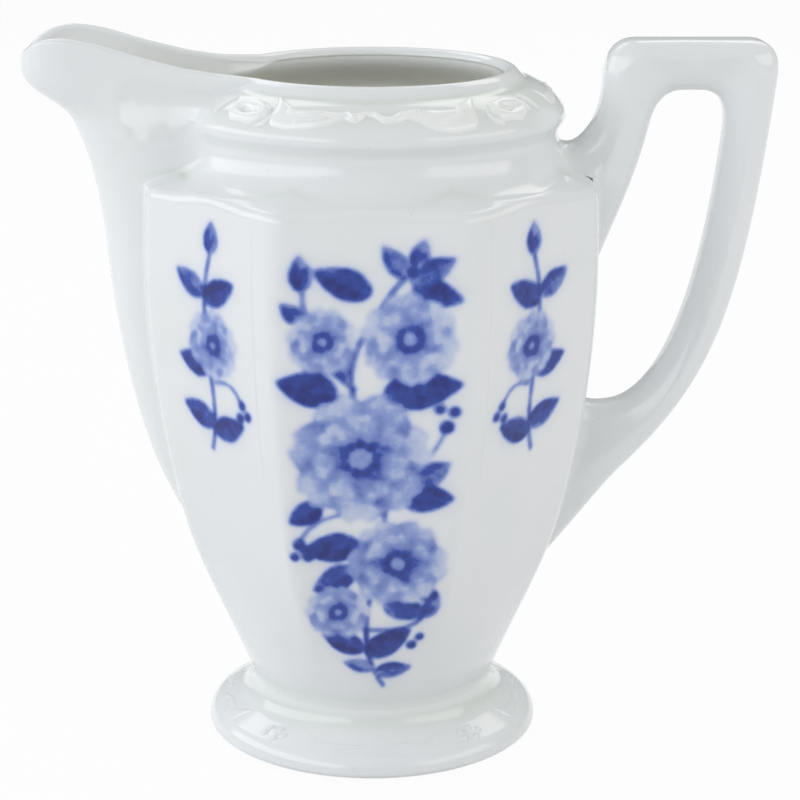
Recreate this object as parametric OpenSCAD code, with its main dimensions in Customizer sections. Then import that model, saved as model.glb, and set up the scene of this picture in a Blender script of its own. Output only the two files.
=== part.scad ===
// Eight-sided porcelain milk jug on a round foot, with a spout, a loop handle and applied relief
// Origin at the middle of the standing ring, +Z up, handle towards +X, spout towards -X

/* [Body] */
// Width across two opposite flats at the widest level
body_flats = 81.8; // [74:0.2:90]
// Height of the widest level of the body
belly_z = 95; // [88:0.5:100]
// Height of the flat shelf on which the collar sits
shelf_z = 109.6; // [105:0.2:114]
// Width across the flats where the body meets the foot
neck_d = 46.7; // [40:0.1:54]
// Wall thickness of the body and the collar
wall = 3; // [2:0.1:4]
// Thickness of the body's floor
floor_t = 3.5; // [2.5:0.1:6]
// How far the soft corners stay inside the sharp corners
corner_cut = 0.9; // [0.5:0.1:1.6]
// How far the corners still stand out beyond the flats at the neck
neck_corner = 0.3; // [0.2:0.05:0.8]
// Radius of the rounded edge between the panels and the shelf
edge_round = 1.2; // [0.8:0.1:1.6]

/* [Foot] */
// Largest diameter of the foot
foot_d = 63.2; // [60:0.2:68]
// Height of the foot
foot_h = 10.9; // [10.3:0.1:13]
// Wall thickness of the foot
foot_wall = 3.5; // [2.5:0.1:4]
// Height of the foot's widest level
foot_belly = 1.1; // [0.7:0.1:1.5]
// Bevel round the outer edge of the standing ring
foot_bevel = 0.5; // [0.2:0.1:1]
// Radius of the foot's round lower edge
foot_round = 3.5; // [2.6:0.1:4]
// Radius of the hollow moulding between the foot and the body
neck_cove = 5.2; // [4:0.1:5.6]

/* [Collar] */
// Inner diameter of the mouth
mouth_d = 49.6; // [44:0.2:53]
// Thickness of the rolled rim
rim_t = 2.8; // [2:0.1:3.6]
// Height of the top of the rim
rim_z = 128.1; // [126:0.1:133]
// Radius of the hollow moulding above the shelf
cove_r = 7.2; // [6:0.1:8.5]
// Height of the hollow moulding's centre above the shelf
cove_lift = 6.9; // [5.5:0.1:7]
// Height of the ledge's centre above the shelf
ledge_lift = 10.1; // [8.8:0.1:11]
// How far the ledge stands out beyond the waist above the hollow moulding
ledge_out = 1.4; // [1:0.1:2.4]
// Thickness of the ledge's rounded nose
ledge_t = 2.4; // [1.6:0.1:3]
// Bulge of the sloping band above the ledge
slope_bulge = 0.9; // [0.5:0.1:1.4]
// Width of the collar's seat on the shelf
shelf_seat = 4.7; // [3:0.1:6]

/* [Spout] */
// Distance from the jug's axis to the tip
spout_reach = 64.2; // [60:0.2:70]
// Height of the tip
tip_z = 129.5; // [128:0.1:132]
// Height of the highest point of the lip
lip_z = 134.5; // [132:0.1:138]
// Outer width of the spout
spout_w = 28.6; // [24:0.2:31]
// How far the keel stands off the body's widest panel
spout_depth = 8.3; // [7:0.1:10]
// Height at which the keel leaves the panel
spout_root_z = 41; // [36:0.5:50]
// Wall thickness of the spout
spout_wall = 2.8; // [2:0.1:3.4]
// How far each side of the lip stays inside the spout's full width
lip_pinch = 1.9; // [0.5:0.1:2.5]
// How far each side wall opens out again towards the rim
spout_flare = 1.5; // [0.5:0.1:4]

/* [Handle] */
// Distance from the jug's axis to the handle's outermost point
handle_reach = 74.4; // [70:0.2:82]
// Height of the handle's top
handle_top = 133.1; // [130:0.1:138]
// Thickness of the handle's bar as seen from the side
handle_bar = 9.2; // [7:0.1:11]
// Width of the handle's bar as seen from behind
handle_w = 11.6; // [9:0.1:15]
// Radius of the bar's rounded edges
handle_round = 3.2; // [2:0.1:3.4]
// Gap between the ledge and the handle's upright
handle_stand = 6.7; // [5:0.1:9]
// Height at which the lower root's tail meets the panel
handle_root_z = 31.5; // [28:0.5:36]
// How much wider the bar gets on each side at its roots
root_spread = 1.6; // [0:0.1:2.5]

/* [Relief] */
// Height of the applied relief over the surface
relief_h = 0.8; // [0.5:0.1:1.2]
// Radius over a collar rosette's petals
rosette_r = 3.3; // [2.6:0.1:3.8]
// Radius over a foot rosette's petals
foot_rosette_r = 2; // [1.6:0.1:2.2]
// Radius of the largest bud in a swag
bud_r = 1.5; // [1.1:0.1:1.8]
// Radius of the largest bud in a foot swag
foot_bud_r = 1.2; // [0.9:0.1:1.4]
// Clear gap between a rosette and the ends of its swags
swag_gap = 1; // [0.5:0.1:3]

/* [Hidden] */
$fn = 96;
glaze_white = [0.93, 0.94, 0.93];
shade_white = [0.87, 0.89, 0.89];
relief_white = [0.96, 0.96, 0.94];
// Length by which cutting shapes run past what they cut
past = 5;

// Radius of an arc that falls back by drop over a height
function sweep_radius(drop, height) = (height * height + drop * drop) / (2 * drop);

// Panels: each is one upright arc, widest at the belly
half_flats = body_flats / 2;
neck_r = neck_d / 2;
panel_sweep = sweep_radius(half_flats - neck_r, belly_z - foot_h);
function flat_at(z) =
    half_flats - panel_sweep + sqrt(panel_sweep * panel_sweep - (z - belly_z) * (z - belly_z));

// Turned form that softens the eight corners
corner_r = half_flats / cos(22.5) - corner_cut;
corner_sweep = sweep_radius(corner_r - neck_r - neck_corner, belly_z - foot_h);

// Rounded edge round the shelf, tangent to the panels' arcs
edge_z = shelf_z - edge_round;
edge_x = half_flats - panel_sweep
    + sqrt(pow(panel_sweep - edge_round, 2) - pow(edge_z - belly_z, 2));
edge_start = belly_z + (edge_z - belly_z) * panel_sweep / (panel_sweep - edge_round);

// Collar: the hollow moulding runs out at the shelf's edge
cove_foot = edge_x;
cove_x = cove_foot + sqrt(cove_r * cove_r - cove_lift * cove_lift);
cove_z = shelf_z + cove_lift;
waist_r = cove_x - cove_r;
ledge_z = shelf_z + ledge_lift;
ledge_r = waist_r + ledge_out;
mouth_r = mouth_d / 2;
rim_out = mouth_r + rim_t;
shelf_hole = cove_foot - shelf_seat;
slope_low = [ledge_r - ledge_t / 8, ledge_z + ledge_t * 0.42];
slope_high = [rim_out + 0.4, rim_z - 2.1];
slope_span = norm(slope_high - slope_low);
slope_r = sweep_radius(slope_bulge, slope_span / 2);
slope_out = [slope_low.y - slope_high.y, slope_high.x - slope_low.x] / -slope_span;
slope_c = (slope_low + slope_high) / 2 - slope_out * (slope_r - slope_bulge);
slope_mid = atan2(slope_out.y, slope_out.x);

// Foot: a hollow moulding under the neck, a sloping band that touches both arcs, and a round edge
foot_r = foot_d / 2;
round_c = [foot_r - foot_round, foot_belly];
hollow_c = [neck_r + neck_cove, foot_h];
arc_span = norm(hollow_c - round_c);
arc_lean = atan2(hollow_c.y - round_c.y, hollow_c.x - round_c.x);
band_tilt = arc_lean - acos(min(1, (foot_round + neck_cove) / arc_span));
band_out = [cos(band_tilt), sin(band_tilt)];
band_low = round_c + foot_round * band_out;
band_high = hollow_c - neck_cove * band_out;
foot_bore = neck_r - foot_wall - 0.5;
foot_profile = concat(
    [[0, 0], [foot_r - foot_bevel, 0]],
    arc(round_c, foot_round, 0, band_tilt, 6),
    arc(hollow_c, neck_cove, 180 + band_tilt, 180, 7),
    [[0, foot_h]]
);

// Points along a round arc
function arc(centre, radius, from, to, steps) = [
    for (i = [0 : steps])
        let (turn = from + (to - from) * i / steps)
        centre + radius * [cos(turn), sin(turn)]
];

// Points along a cubic curve, its first point left out unless asked for
function curve(p, steps, first = 1) = [
    for (i = [first : steps])
        let (t = i / steps, s = 1 - t)
        s * s * s * p[0] + 3 * s * s * t * p[1] + 3 * s * t * t * p[2] + t * t * t * p[3]
];

// A cubic that rounds a corner between two points
function bend(a, corner, b) = [a, (a + 2 * corner) / 3, (b + 2 * corner) / 3, b];

// A straight run written as a cubic
function run(a, b) = [a, (2 * a + b) / 3, (a + 2 * b) / 3, b];

// Solid through rings of equal length
module loft(rings) {
    n = len(rings[0]);
    last = len(rings) - 1;
    points = [for (ring = rings) each ring];
    sides = [
        for (i = [0 : last - 1], j = [0 : n - 1])
            let (a = i * n + j, b = i * n + (j + 1) % n)
            each [[a, b, b + n], [a, b + n, a + n]]
    ];
    start = [for (j = [0 : n - 1]) n - 1 - j];
    end = [for (j = [0 : n - 1]) last * n + j];
    polyhedron(points, concat([start], sides, [end]), convexity = 6);
}

// Outline of two opposite panels, set in by a wall and cut off at a top level
module panel_outline(inset, top) {
    intersection() {
        translate([half_flats - panel_sweep, belly_z])
            rotate(180)
                circle(panel_sweep - inset);
        translate([panel_sweep - half_flats, belly_z])
            circle(panel_sweep - inset);
        translate([-body_flats, 0])
            square([2 * body_flats, top]);
    }
}

// Waste outside the rounded edge of one panel
module edge_waste() {
    difference() {
        translate([edge_x, edge_start])
            square([edge_round + past, edge_round + past]);
        translate([edge_x, edge_z])
            circle(edge_round);
    }
}

// Turned form that softens the corners of the eight sides
module soft_corners(inset, bottom, top) {
    rotate_extrude()
        intersection() {
            translate([corner_r - corner_sweep, belly_z])
                circle(corner_sweep - inset);
            translate([0, bottom])
                square([body_flats, top - bottom]);
        }
}

// Two opposite panels with their rounded shelf edges, as one slab across the jug
module panel_slab() {
    rotate([90, 0, 0])
        linear_extrude(2 * body_flats, center = true)
            difference() {
                panel_outline(0, shelf_z);
                edge_waste();
                mirror([1, 0])
                    edge_waste();
            }
}

module body_form() {
    intersection() {
        intersection_for(turn = [0 : 45 : 135])
            rotate([0, 0, turn])
                panel_slab();
        soft_corners(0, foot_h, shelf_z);
    }
}

module body_hollow() {
    intersection() {
        intersection_for(turn = [0 : 45 : 135])
            rotate([90, 0, turn])
                linear_extrude(2 * body_flats, center = true)
                    panel_outline(wall, shelf_z - wall);
        soft_corners(wall, foot_h + floor_t, shelf_z - wall);
    }
    translate([0, 0, shelf_z - wall - past])
        cylinder(r = shelf_hole, h = wall + 2 * past);
}

module body() {
    color(glaze_white)
        difference() {
            body_form();
            body_hollow();
            spout_channel();
        }
}

// Outer outline of the collar from the axis outwards
module collar_outline() {
    difference() {
        translate([0, shelf_z])
            square([cove_foot, ledge_z - shelf_z]);
        translate([cove_x, cove_z])
            circle(cove_r);
        translate([waist_r, cove_z])
            square([cove_r, ledge_lift]);
    }
    translate([ledge_r - ledge_t / 2, ledge_z])
        circle(ledge_t / 2);
    polygon([[0, ledge_z - ledge_t / 2], [ledge_r - ledge_t / 2, ledge_z - ledge_t / 2],
             slope_low, slope_high, [0, slope_high.y]]);
    intersection() {
        translate(slope_c)
            circle(slope_r);
        polygon([slope_low, slope_low + slope_out * past, slope_high + slope_out * past, slope_high]);
    }
    translate([0, slope_high.y - past / 5])
        square([rim_out, rim_z - rim_t / 2 - slope_high.y + past / 5]);
    translate([rim_out - rim_t / 2, rim_z - rim_t / 2])
        circle(rim_t / 2);
}

// The collar as a full solid, used to seat the other pieces on it
module collar_form() {
    rotate_extrude()
        union() {
            collar_outline();
            translate([0, rim_z - rim_t])
                square([rim_out - rim_t / 2, rim_t]);
        }
}

// Trims a piece to the panel's face and to the collar that it stands against
module seated() {
    difference() {
        difference() {
            children();
            panel_slab();
        }
        collar_form();
    }
}

module collar_hollow() {
    waist_in = waist_r - wall;
    rotate_extrude()
        polygon([[0, shelf_z - past], [shelf_hole, shelf_z - past], [shelf_hole, shelf_z],
                 [waist_in, cove_z - cove_lift / 3], [waist_in, ledge_z + 0.5],
                 [mouth_r, rim_z - rim_t], [mouth_r, rim_z + past], [0, rim_z + past]]);
}

module collar() {
    color(glaze_white)
        difference() {
            rotate_extrude()
                collar_outline();
            collar_hollow();
            spout_channel();
        }
}

module foot() {
    color(shade_white)
        rotate_extrude()
            difference() {
                polygon(foot_profile);
                polygon([[0, -past], [foot_r - foot_wall, -past], [foot_r - foot_wall, foot_belly],
                         band_high - foot_wall * band_out, [foot_bore, foot_h - foot_wall],
                         [foot_bore, foot_h + past], [0, foot_h + past]]);
            }
}

// Depth to which the spout's sides run in behind the panel's face
seat_in = 1.2;

// Side view of the spout's keel, as distance from the axis and height, with the pulls that bend it
keel_root = [flat_at(spout_root_z) - seat_in / 2, spout_root_z];
keel_belly = [half_flats + spout_depth, belly_z];
keel_throat = [spout_reach - 8.6, ledge_z + 0.3];
keel_tip = [spout_reach, tip_z];
keel = concat(
    curve([keel_root, keel_root + [9, 9], keel_belly - [1.8, 23], keel_belly], 7, 0),
    curve([keel_belly, keel_belly + [0.8, 8], keel_throat - [4, 6.5], keel_throat], 5),
    curve([keel_throat, keel_throat + [1.6, 3.2], keel_tip - [1.4, 3.9], keel_tip], 5)
);

// Half-ellipse across the keel at one level, with side walls that run back into the jug
spout_seat = waist_r + 2;
spout_back = mouth_r - spout_wall - past;
// Width of the spout at its root as a share of its full width
root_share = 0.66;
function spout_ring(point, inset, back) =
    let (
        grown = min(1, (point.y - spout_root_z) / (belly_z - spout_root_z)),
        lifted = max(0, min(1, (point.y - cove_z) / (rim_z - cove_z))),
        half = spout_w / 2 * (root_share + (1 - root_share) * sin(90 * grown)) - lip_pinch * lifted - inset,
        seat = min(spout_seat, flat_at(min(point.y, belly_z)) - seat_in) - inset,
        nose = point.x - inset
    )
    concat(
        [[-back, -half - spout_flare * lifted, point.y]],
        [for (q = [-90 : 15 : 90]) [-seat - (nose - seat) * cos(q), half * sin(q), point.y]],
        [[-back, half + spout_flare * lifted, point.y]]
    );

module spout_solid() {
    path = concat(keel, [[spout_reach, lip_z + past]]);
    loft([for (point = path) spout_ring(point, 0, spout_back)]);
}

// Hollow of the spout, which also opens the panel, the shelf and the collar to it
channel_start = 2;
module spout_channel() {
    hollow = [for (i = [channel_start : len(keel) - 1]) keel[i]];
    path = concat(hollow, [[spout_reach, lip_z + 2 * past]]);
    loft([for (point = path) spout_ring(point, spout_wall, spout_back - past)]);
}

// Everything above the lip, which rises from the rim to a peak and rolls over at the tip
lip_peak = [spout_reach - 9, lip_z];
lip_start = [rim_out, rim_z];
lip = concat(
    [[0, rim_z]],
    curve([lip_start, lip_start + [9, 0.5], lip_peak - [10, 0], lip_peak], 8, 0),
    curve([lip_peak, lip_peak + [5, 0], keel_tip + [0, 3], keel_tip], 6),
    [[spout_reach + past, tip_z], [spout_reach + past, lip_z + 2 * past], [0, lip_z + 2 * past]]
);
module above_lip() {
    rotate([90, 0, 0])
        linear_extrude(3 * spout_w, center = true)
            mirror([1, 0])
                polygon(lip);
}

module spout() {
    color(glaze_white)
        seated()
            difference() {
                difference() {
                    spout_solid();
                    spout_channel();
                }
                above_lip();
            }
}

// Side view of the handle: where its outer curves join, with the pulls that bend them
upright = ledge_r + handle_stand;
tail_end = flat_at(handle_root_z);
corner_drop = 7.1;
corner_run = 6.1;
top_root = [waist_r, cove_z - 4];
upright_end = [upright, handle_top - corner_drop];
reach_end = [handle_reach - 0.6, handle_top - corner_drop];
tail = [half_flats + 6, handle_root_z + 20.3];
low_root = [tail_end - past, handle_root_z - past];
outer_edge = concat(
    curve([top_root, top_root + [6, 2.4], upright_end - [0.1, 6.5], upright_end], 6, 0),
    curve(bend(upright_end, [upright + 0.3, handle_top], [upright + corner_run, handle_top]), 4),
    curve(run([upright + corner_run, handle_top], [handle_reach - corner_run, handle_top]), 2),
    curve(bend([handle_reach - corner_run, handle_top], [handle_reach + 0.3, handle_top], reach_end), 4),
    curve([reach_end, reach_end - [4.9, 44.7], tail + [16.9, 16.7], tail], 9),
    curve([tail, tail - [4, 4], low_root + [11.9, 13.1], low_root], 5)
);

// The inner edge, one bar further in, whose corners are a little tighter
inner_drop = 6.6;
inner_run = 5.3;
inner_top = handle_top - handle_bar;
inner_up = upright + handle_bar;
inner_reach = handle_reach - handle_bar;
inner_root = [half_flats - 1.4, belly_z - 9.5];
inner_upright = [inner_up - 0.8, inner_top - inner_drop];
inner_end = [inner_reach - 0.6, inner_top - inner_drop];
tuck = [half_flats + 8.1, handle_root_z + handle_bar + 25.7];
inner_tail = [tail_end + 1, handle_root_z + handle_bar + 25.3];
inner_edge = concat(
    curve([inner_root, inner_root + [3.7, 8.5], inner_upright - [2.4, 11.5], inner_upright], 6, 0),
    curve(bend(inner_upright, [inner_up + 0.6, inner_top], [inner_up + inner_run, inner_top]), 4),
    curve(run([inner_up + inner_run, inner_top], [inner_reach - inner_run, inner_top]), 2),
    curve(bend([inner_reach - inner_run, inner_top], [inner_reach - 0.3, inner_top], inner_end), 4),
    curve([inner_end, inner_end - [2.6, 27], tuck + [7.5, 5.6], tuck], 9),
    curve([tuck, tuck - [3, 2.3], inner_tail + [10.9, -2.4], inner_tail], 5)
);

// Rounded bar section between a point of the outer edge and its partner on the inner edge
function bar_ring(outer, inner, half_w) =
    let (
        middle = (outer + inner) / 2,
        reach = norm(outer - inner) / 2,
        along = (outer - inner) / (2 * reach),
        flat_a = reach - handle_round,
        flat_b = half_w - handle_round
    )
    [
        for (corner = [[1, 1, 0], [-1, 1, 90], [-1, -1, 180], [1, -1, 270]], q = [0 : 30 : 90])
            let (
                a = corner[0] * flat_a + handle_round * cos(corner[2] + q),
                b = corner[1] * flat_b + handle_round * sin(corner[2] + q),
                place = middle + along * a
            )
            [place.x, b, place.y]
    ];

module handle_bar_solid() {
    last = len(outer_edge) - 1;
    loft([
        for (i = [0 : last])
            let (
                near_end = max(0, 1 - 6 * min(i, last - i) / last),
                half_w = handle_w / 2 + root_spread * near_end * near_end
            )
            bar_ring(outer_edge[i], inner_edge[i], half_w)
    ]);
}

module handle() {
    color(glaze_white)
        seated()
            handle_bar_solid();
}

// Places a shape on a round moulding, its base on the moulding and its top facing outwards
module on_moulding(centre, radius, level, turn) {
    rotate([0, 0, turn])
        translate([centre.x, 0, centre.y])
            rotate([0, 90 - level, 0])
                translate([0, 0, radius])
                    children();
}

// A round boss that stands a set height over the moulding
module boss(r, height) {
    translate([0, 0, height - r])
        sphere(r);
}

// A round moulding as a full ring, finely stepped, used to seat the relief on it
module moulding_form(centre, radius) {
    rotate_extrude($fn = 300)
        intersection() {
            translate(centre)
                circle(radius, $fn = 300);
            translate([centre.x, centre.y])
                square(radius + past);
        }
}

// Five-petalled rosette
module rosette(r) {
    petal_r = r * 0.46;
    boss(r * 0.42, relief_h * 1.3);
    for (turn = [0 : 72 : 288])
        rotate([0, 0, turn])
            translate([r - petal_r, 0, 0])
                boss(petal_r, relief_h);
}

// Swag of touching buds that hangs between two rosettes, biggest in the middle
bud_pitch = 1.35;
module swag(centre, radius, level, from, to, size, drop) {
    level_r = centre.x + radius * cos(level);
    buds = ceil((to - from) * PI / 180 * level_r / (bud_pitch * size));
    hang = drop / radius * 180 / PI;
    for (i = [0 : buds])
        let (share = i / buds, belly = 4 * share * (1 - share))
            on_moulding(centre, radius, level - hang * belly, from + (to - from) * share)
                boss(size * (0.8 + 0.2 * belly), relief_h);
}

// Angle that a length takes up on a circle
function angle_over(length, radius) = 2 * asin(length / (2 * radius));

diagonals = [45 : 90 : 315];
// The band that carries the collar's relief, and how far the swags hang below their ends
slope_level = slope_mid + 3;
slope_level_r = slope_c.x + slope_r * cos(slope_level);
swag_inset = angle_over(rosette_r + swag_gap + bud_r, slope_level_r);
swag_level = slope_level + 6;
swag_drop = 2.8;
swag_sides = [-90, 0, 90];

module collar_rosettes() {
    color(relief_white)
        for (turn = diagonals)
            difference() {
                on_moulding(slope_c, slope_r, slope_level, turn)
                    rosette(rosette_r);
                moulding_form(slope_c, slope_r);
            }
}

module collar_swags() {
    color(relief_white)
        for (side = swag_sides)
            difference() {
                swag(slope_c, slope_r, swag_level, side - 45 + swag_inset, side + 45 - swag_inset,
                     bud_r, swag_drop);
                moulding_form(slope_c, slope_r);
            }
}

// The foot's band is straight, so its relief is laid out on a wide arc that touches its middle
band_sweep = 40;
band_mid = (band_low + band_high) / 2;
band_c = band_mid - band_sweep * band_out;
foot_inset = angle_over(foot_rosette_r + swag_gap + foot_bud_r, band_mid.x);
foot_drop = 1;

// The foot as a full solid, finely stepped, used to seat the relief on it
module foot_form() {
    rotate_extrude($fn = 300)
        polygon(foot_profile);
}

module foot_rosettes() {
    color(relief_white)
        for (turn = diagonals)
            difference() {
                on_moulding(band_c, band_sweep, band_tilt, turn)
                    rosette(foot_rosette_r);
                foot_form();
            }
}

module foot_swags() {
    color(relief_white)
        for (side = [0 : 90 : 270])
            difference() {
                swag(band_c, band_sweep, band_tilt, side - 45 + foot_inset, side + 45 - foot_inset,
                     foot_bud_r, foot_drop);
                foot_form();
            }
}

body();
collar();
foot();
spout();
handle();
collar_rosettes();
collar_swags();
foot_rosettes();
foot_swags();
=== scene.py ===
import math

import bpy
import numpy as np
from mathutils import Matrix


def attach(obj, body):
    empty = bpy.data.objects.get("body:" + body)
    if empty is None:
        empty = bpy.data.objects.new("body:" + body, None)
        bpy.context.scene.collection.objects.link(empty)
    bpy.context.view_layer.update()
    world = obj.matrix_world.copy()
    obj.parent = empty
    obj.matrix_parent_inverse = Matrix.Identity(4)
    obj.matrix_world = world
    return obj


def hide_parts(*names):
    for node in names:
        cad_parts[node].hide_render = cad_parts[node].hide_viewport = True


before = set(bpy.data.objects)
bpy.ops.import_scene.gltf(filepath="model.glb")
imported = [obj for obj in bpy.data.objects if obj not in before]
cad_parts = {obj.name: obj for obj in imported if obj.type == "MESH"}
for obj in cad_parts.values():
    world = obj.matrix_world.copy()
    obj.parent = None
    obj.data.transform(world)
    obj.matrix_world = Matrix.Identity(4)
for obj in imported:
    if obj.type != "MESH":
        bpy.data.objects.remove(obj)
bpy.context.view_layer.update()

# Body: the eight-sided porcelain shell, slip cast in a plaster mould, with curved panels, soft
# corners and a sloping shoulder. One panel has a slot that the spout is luted over, so the wall
# here already follows the spout's outline and the soft slip fillet beside it.
MM = 0.001
EIGHTH = math.pi / 4
HALF_FLATS = 40.9
BELLY_Z = 95.0
NECK_R = 23.3
NECK_Z = 10.9
NECK_HOLLOW = 5.8
NECK_BLEND_FROM = 1.3
NECK_BLEND = 2.0
PANEL_NECK_R = 22.8
FLOOR_Z = 14.4
FLOOR_FILLET = 6.0
WALL = 3.0
CORNER_SHARE = 0.13
ROUND_NECK_Z = 13.0
SHARP_PANEL_Z = 46.0
PANEL_DROP = HALF_FLATS - PANEL_NECK_R
PANEL_SWEEP = ((BELLY_Z - NECK_Z) ** 2 + PANEL_DROP**2) / (2 * PANEL_DROP)
COVE_X = 41.33
COVE_Z = 116.5
COVE_R = 7.2
SHOULDER_Z = 108.5
SHOULDER_DROP = 0.2
SHOULDER_ROUND = 1.4
SHOULDER_LOW = SHOULDER_Z - SHOULDER_DROP - SHOULDER_ROUND
CREASE_R = 39.9
CREASE_CUT = 3.1
CREASE_ROUND = 0.8
RIM_Z = 128.1
RIM_OUT = 26.9
MOUTH_R = 24.1
RIM_ROLL = 1.4
RIM_LEAN = math.radians(45)
SPOUT_ROOT_Z = 41.0
SPOUT_HALF_W = 14.3
SPOUT_ROOT_SHARE = 0.66
SPOUT_SEAT = 36.1
SPOUT_SEAT_IN = 1.2
SEAT_SINK = 8.0
SEAT_SINK_BELOW = 2.0
SEAT_SINK_RUN = 10.0
SPOUT_WALL = 2.8
SPOUT_BLUNT = 2.15
LIP_PINCH = 1.9
LIP_THIN = 1.9
LIP_BLEND_Z = 119.0
LIP_TO_RIM_FROM = math.radians(16)
LIP_TO_RIM = math.radians(22)
DRAW_ROW = 3.6
SEARCH_REACH = 90.0
SEARCH_STEPS = 36


def ease(share):
    """Smooth step from 0 to 1."""
    share = np.clip(share, 0.0, 1.0)
    return share * share * (3 - 2 * share)


def fillet_max(a, b, reach):
    """The larger of two radii, with a soft fillet where they are close."""
    reach = np.maximum(reach, 1e-3)
    return np.maximum(a, b) + np.maximum(reach - np.abs(a - b), 0) ** 2 / (4 * reach)


def bezier(points, steps):
    """Points along a cubic curve."""
    t = np.linspace(0, 1, steps + 1)[:, None]
    s = 1 - t
    p = np.array(points, float)
    return s**3 * p[0] + 3 * s * s * t * p[1] + 3 * s * t * t * p[2] + t**3 * p[3]


def flat_at(z):
    """Distance from the axis to a panel at one height, with the soft hollow just above the neck."""
    panel = HALF_FLATS - PANEL_SWEEP + np.sqrt(PANEL_SWEEP**2 - (z - BELLY_Z) ** 2)
    lift = np.clip(z - NECK_Z, 0, NECK_HOLLOW)
    hollow = NECK_R + NECK_HOLLOW - np.sqrt(NECK_HOLLOW**2 - lift**2)
    return hollow + (panel - hollow) * ease((z - NECK_Z - NECK_BLEND_FROM) / NECK_BLEND)


def off_panel_middle(turn):
    """Angle from the middle of the nearest panel."""
    return np.abs((turn + EIGHTH / 2) % EIGHTH - EIGHTH / 2)


def panel_radius(turn, z):
    """Radius of the soft-cornered octagon, which turns round towards the neck."""
    off = off_panel_middle(turn)
    to_corner = EIGHTH / 2 - off
    reach = (1 - CORNER_SHARE) / math.cos(EIGHTH / 2)
    rounded = reach * np.cos(to_corner) + np.sqrt(
        np.maximum(CORNER_SHARE**2 - (reach * np.sin(to_corner)) ** 2, 0)
    )
    flat_end = math.atan((1 - CORNER_SHARE) * math.tan(EIGHTH / 2))
    outline = np.where(off < flat_end, 1 / np.cos(off), rounded)
    sharpness = ease((z - ROUND_NECK_Z) / (SHARP_PANEL_Z - ROUND_NECK_Z))
    return flat_at(z) * (1 + sharpness * (outline - 1))


def cove_z(r):
    """Height of the hollow cove at a radius."""
    return COVE_Z - np.sqrt(np.maximum(COVE_R**2 - (COVE_X - r) ** 2, 0))


# Side view of the spout's keel, from the panel to the tip
KEEL_BELLY = np.array([49.2, 95.0])
KEEL_THROAT = np.array([55.6, 120.0])
KEEL_TIP = np.array([64.2, 129.5])
KEEL_ROOT = np.array([flat_at(SPOUT_ROOT_Z) - SPOUT_SEAT_IN / 2, SPOUT_ROOT_Z])
KEEL_LEAD = np.array([26.0, 26.0])
KEEL = np.concatenate([
    [KEEL_ROOT - KEEL_LEAD],
    bezier([KEEL_ROOT, KEEL_ROOT + [9, 9], KEEL_BELLY - [1.8, 23], KEEL_BELLY], 40),
    bezier([KEEL_BELLY, KEEL_BELLY + [0.8, 8], KEEL_THROAT - [4, 6.5], KEEL_THROAT], 30)[1:],
    bezier([KEEL_THROAT, KEEL_THROAT + [1.6, 3.2], KEEL_TIP - [1.4, 3.9], KEEL_TIP], 20)[1:],
])

# Ridge of the lip from the tip to the rim: distance along the spout, half width and height
LIP_POINTS = np.array([
    [63.3, 0.0, 130.5], [62.6, 3.6, 131.3], [61.2, 6.9, 132.8], [59.0, 9.3, 134.1], [55.5, 10.6, 134.6],
    [50.0, 10.75, 133.8], [42.0, 10.8, 131.4], [34.0, 11.4, 129.4], [28.0, 12.0, 128.5],
])
RIM_RIDGE = (RIM_OUT + MOUTH_R) / 2
RIDGE_STEPS = 3001
RIDGE_SMOOTHING = 500
rim_turn = np.radians(np.arange(36, 181, 2))
half_ridge = np.concatenate([
    LIP_POINTS,
    np.stack([RIM_RIDGE * np.cos(rim_turn), RIM_RIDGE * np.sin(rim_turn), 0 * rim_turn + RIM_Z], 1),
])
ridge = np.concatenate([half_ridge[:0:-1] * [1, -1, 1], half_ridge])
ridge_length = np.concatenate([[0], np.cumsum(np.linalg.norm(np.diff(ridge, axis=0), axis=1))])
ridge_at = np.linspace(0, ridge_length[-1], RIDGE_STEPS)
ridge = np.stack([np.interp(ridge_at, ridge_length, ridge[:, k]) for k in range(3)], 1)
for _ in range(RIDGE_SMOOTHING):
    ridge[1:-1] = (ridge[:-2] + 2 * ridge[1:-1] + ridge[2:]) / 4
LIP_TURN = np.arctan2(ridge[:, 1], ridge[:, 0])
along_ridge = np.gradient(ridge[:, :2], axis=0)
along_ridge /= np.linalg.norm(along_ridge, axis=1, keepdims=True)
to_rim = ease((np.abs(LIP_TURN) - LIP_TO_RIM_FROM) / LIP_TO_RIM)
lip_half = (LIP_THIN + (RIM_OUT - MOUTH_R - LIP_THIN) * to_rim) / 2
LIP_OUT = np.stack([along_ridge[:, 1], -along_ridge[:, 0]], 1) * lip_half[:, None]
LIP_ROLL = RIM_ROLL * lip_half * 2 / (RIM_OUT - MOUTH_R)
LIP_LEAN = RIM_LEAN * to_rim


def from_spout(turn):
    """Signed angle from the spout, between minus and plus half a turn."""
    return (turn + math.pi) % (2 * math.pi) - math.pi


def lip_edge(side, lean):
    """Angle, radius and height of the lip's outer or inner edge, point by point along the ridge."""
    edge = ridge[:, :2] + side * LIP_OUT * np.cos(lean)[:, None]
    turned = from_spout(np.arctan2(edge[:, 1], edge[:, 0]) - LIP_TURN)
    height = ridge[:, 2] - LIP_ROLL * (1 - np.sin(lean))
    return LIP_TURN + turned, np.hypot(edge[:, 0], edge[:, 1]), height


OUTER_LIP = lip_edge(1, LIP_LEAN)
INNER_LIP = lip_edge(-1, 0 * LIP_LEAN)


def lip_radius(turn, edge):
    return np.interp(from_spout(turn), edge[0], edge[1])


def lip_foot(turn, edge):
    """Height at which the roll of the lip starts."""
    return np.interp(from_spout(turn), edge[0], edge[2])


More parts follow.
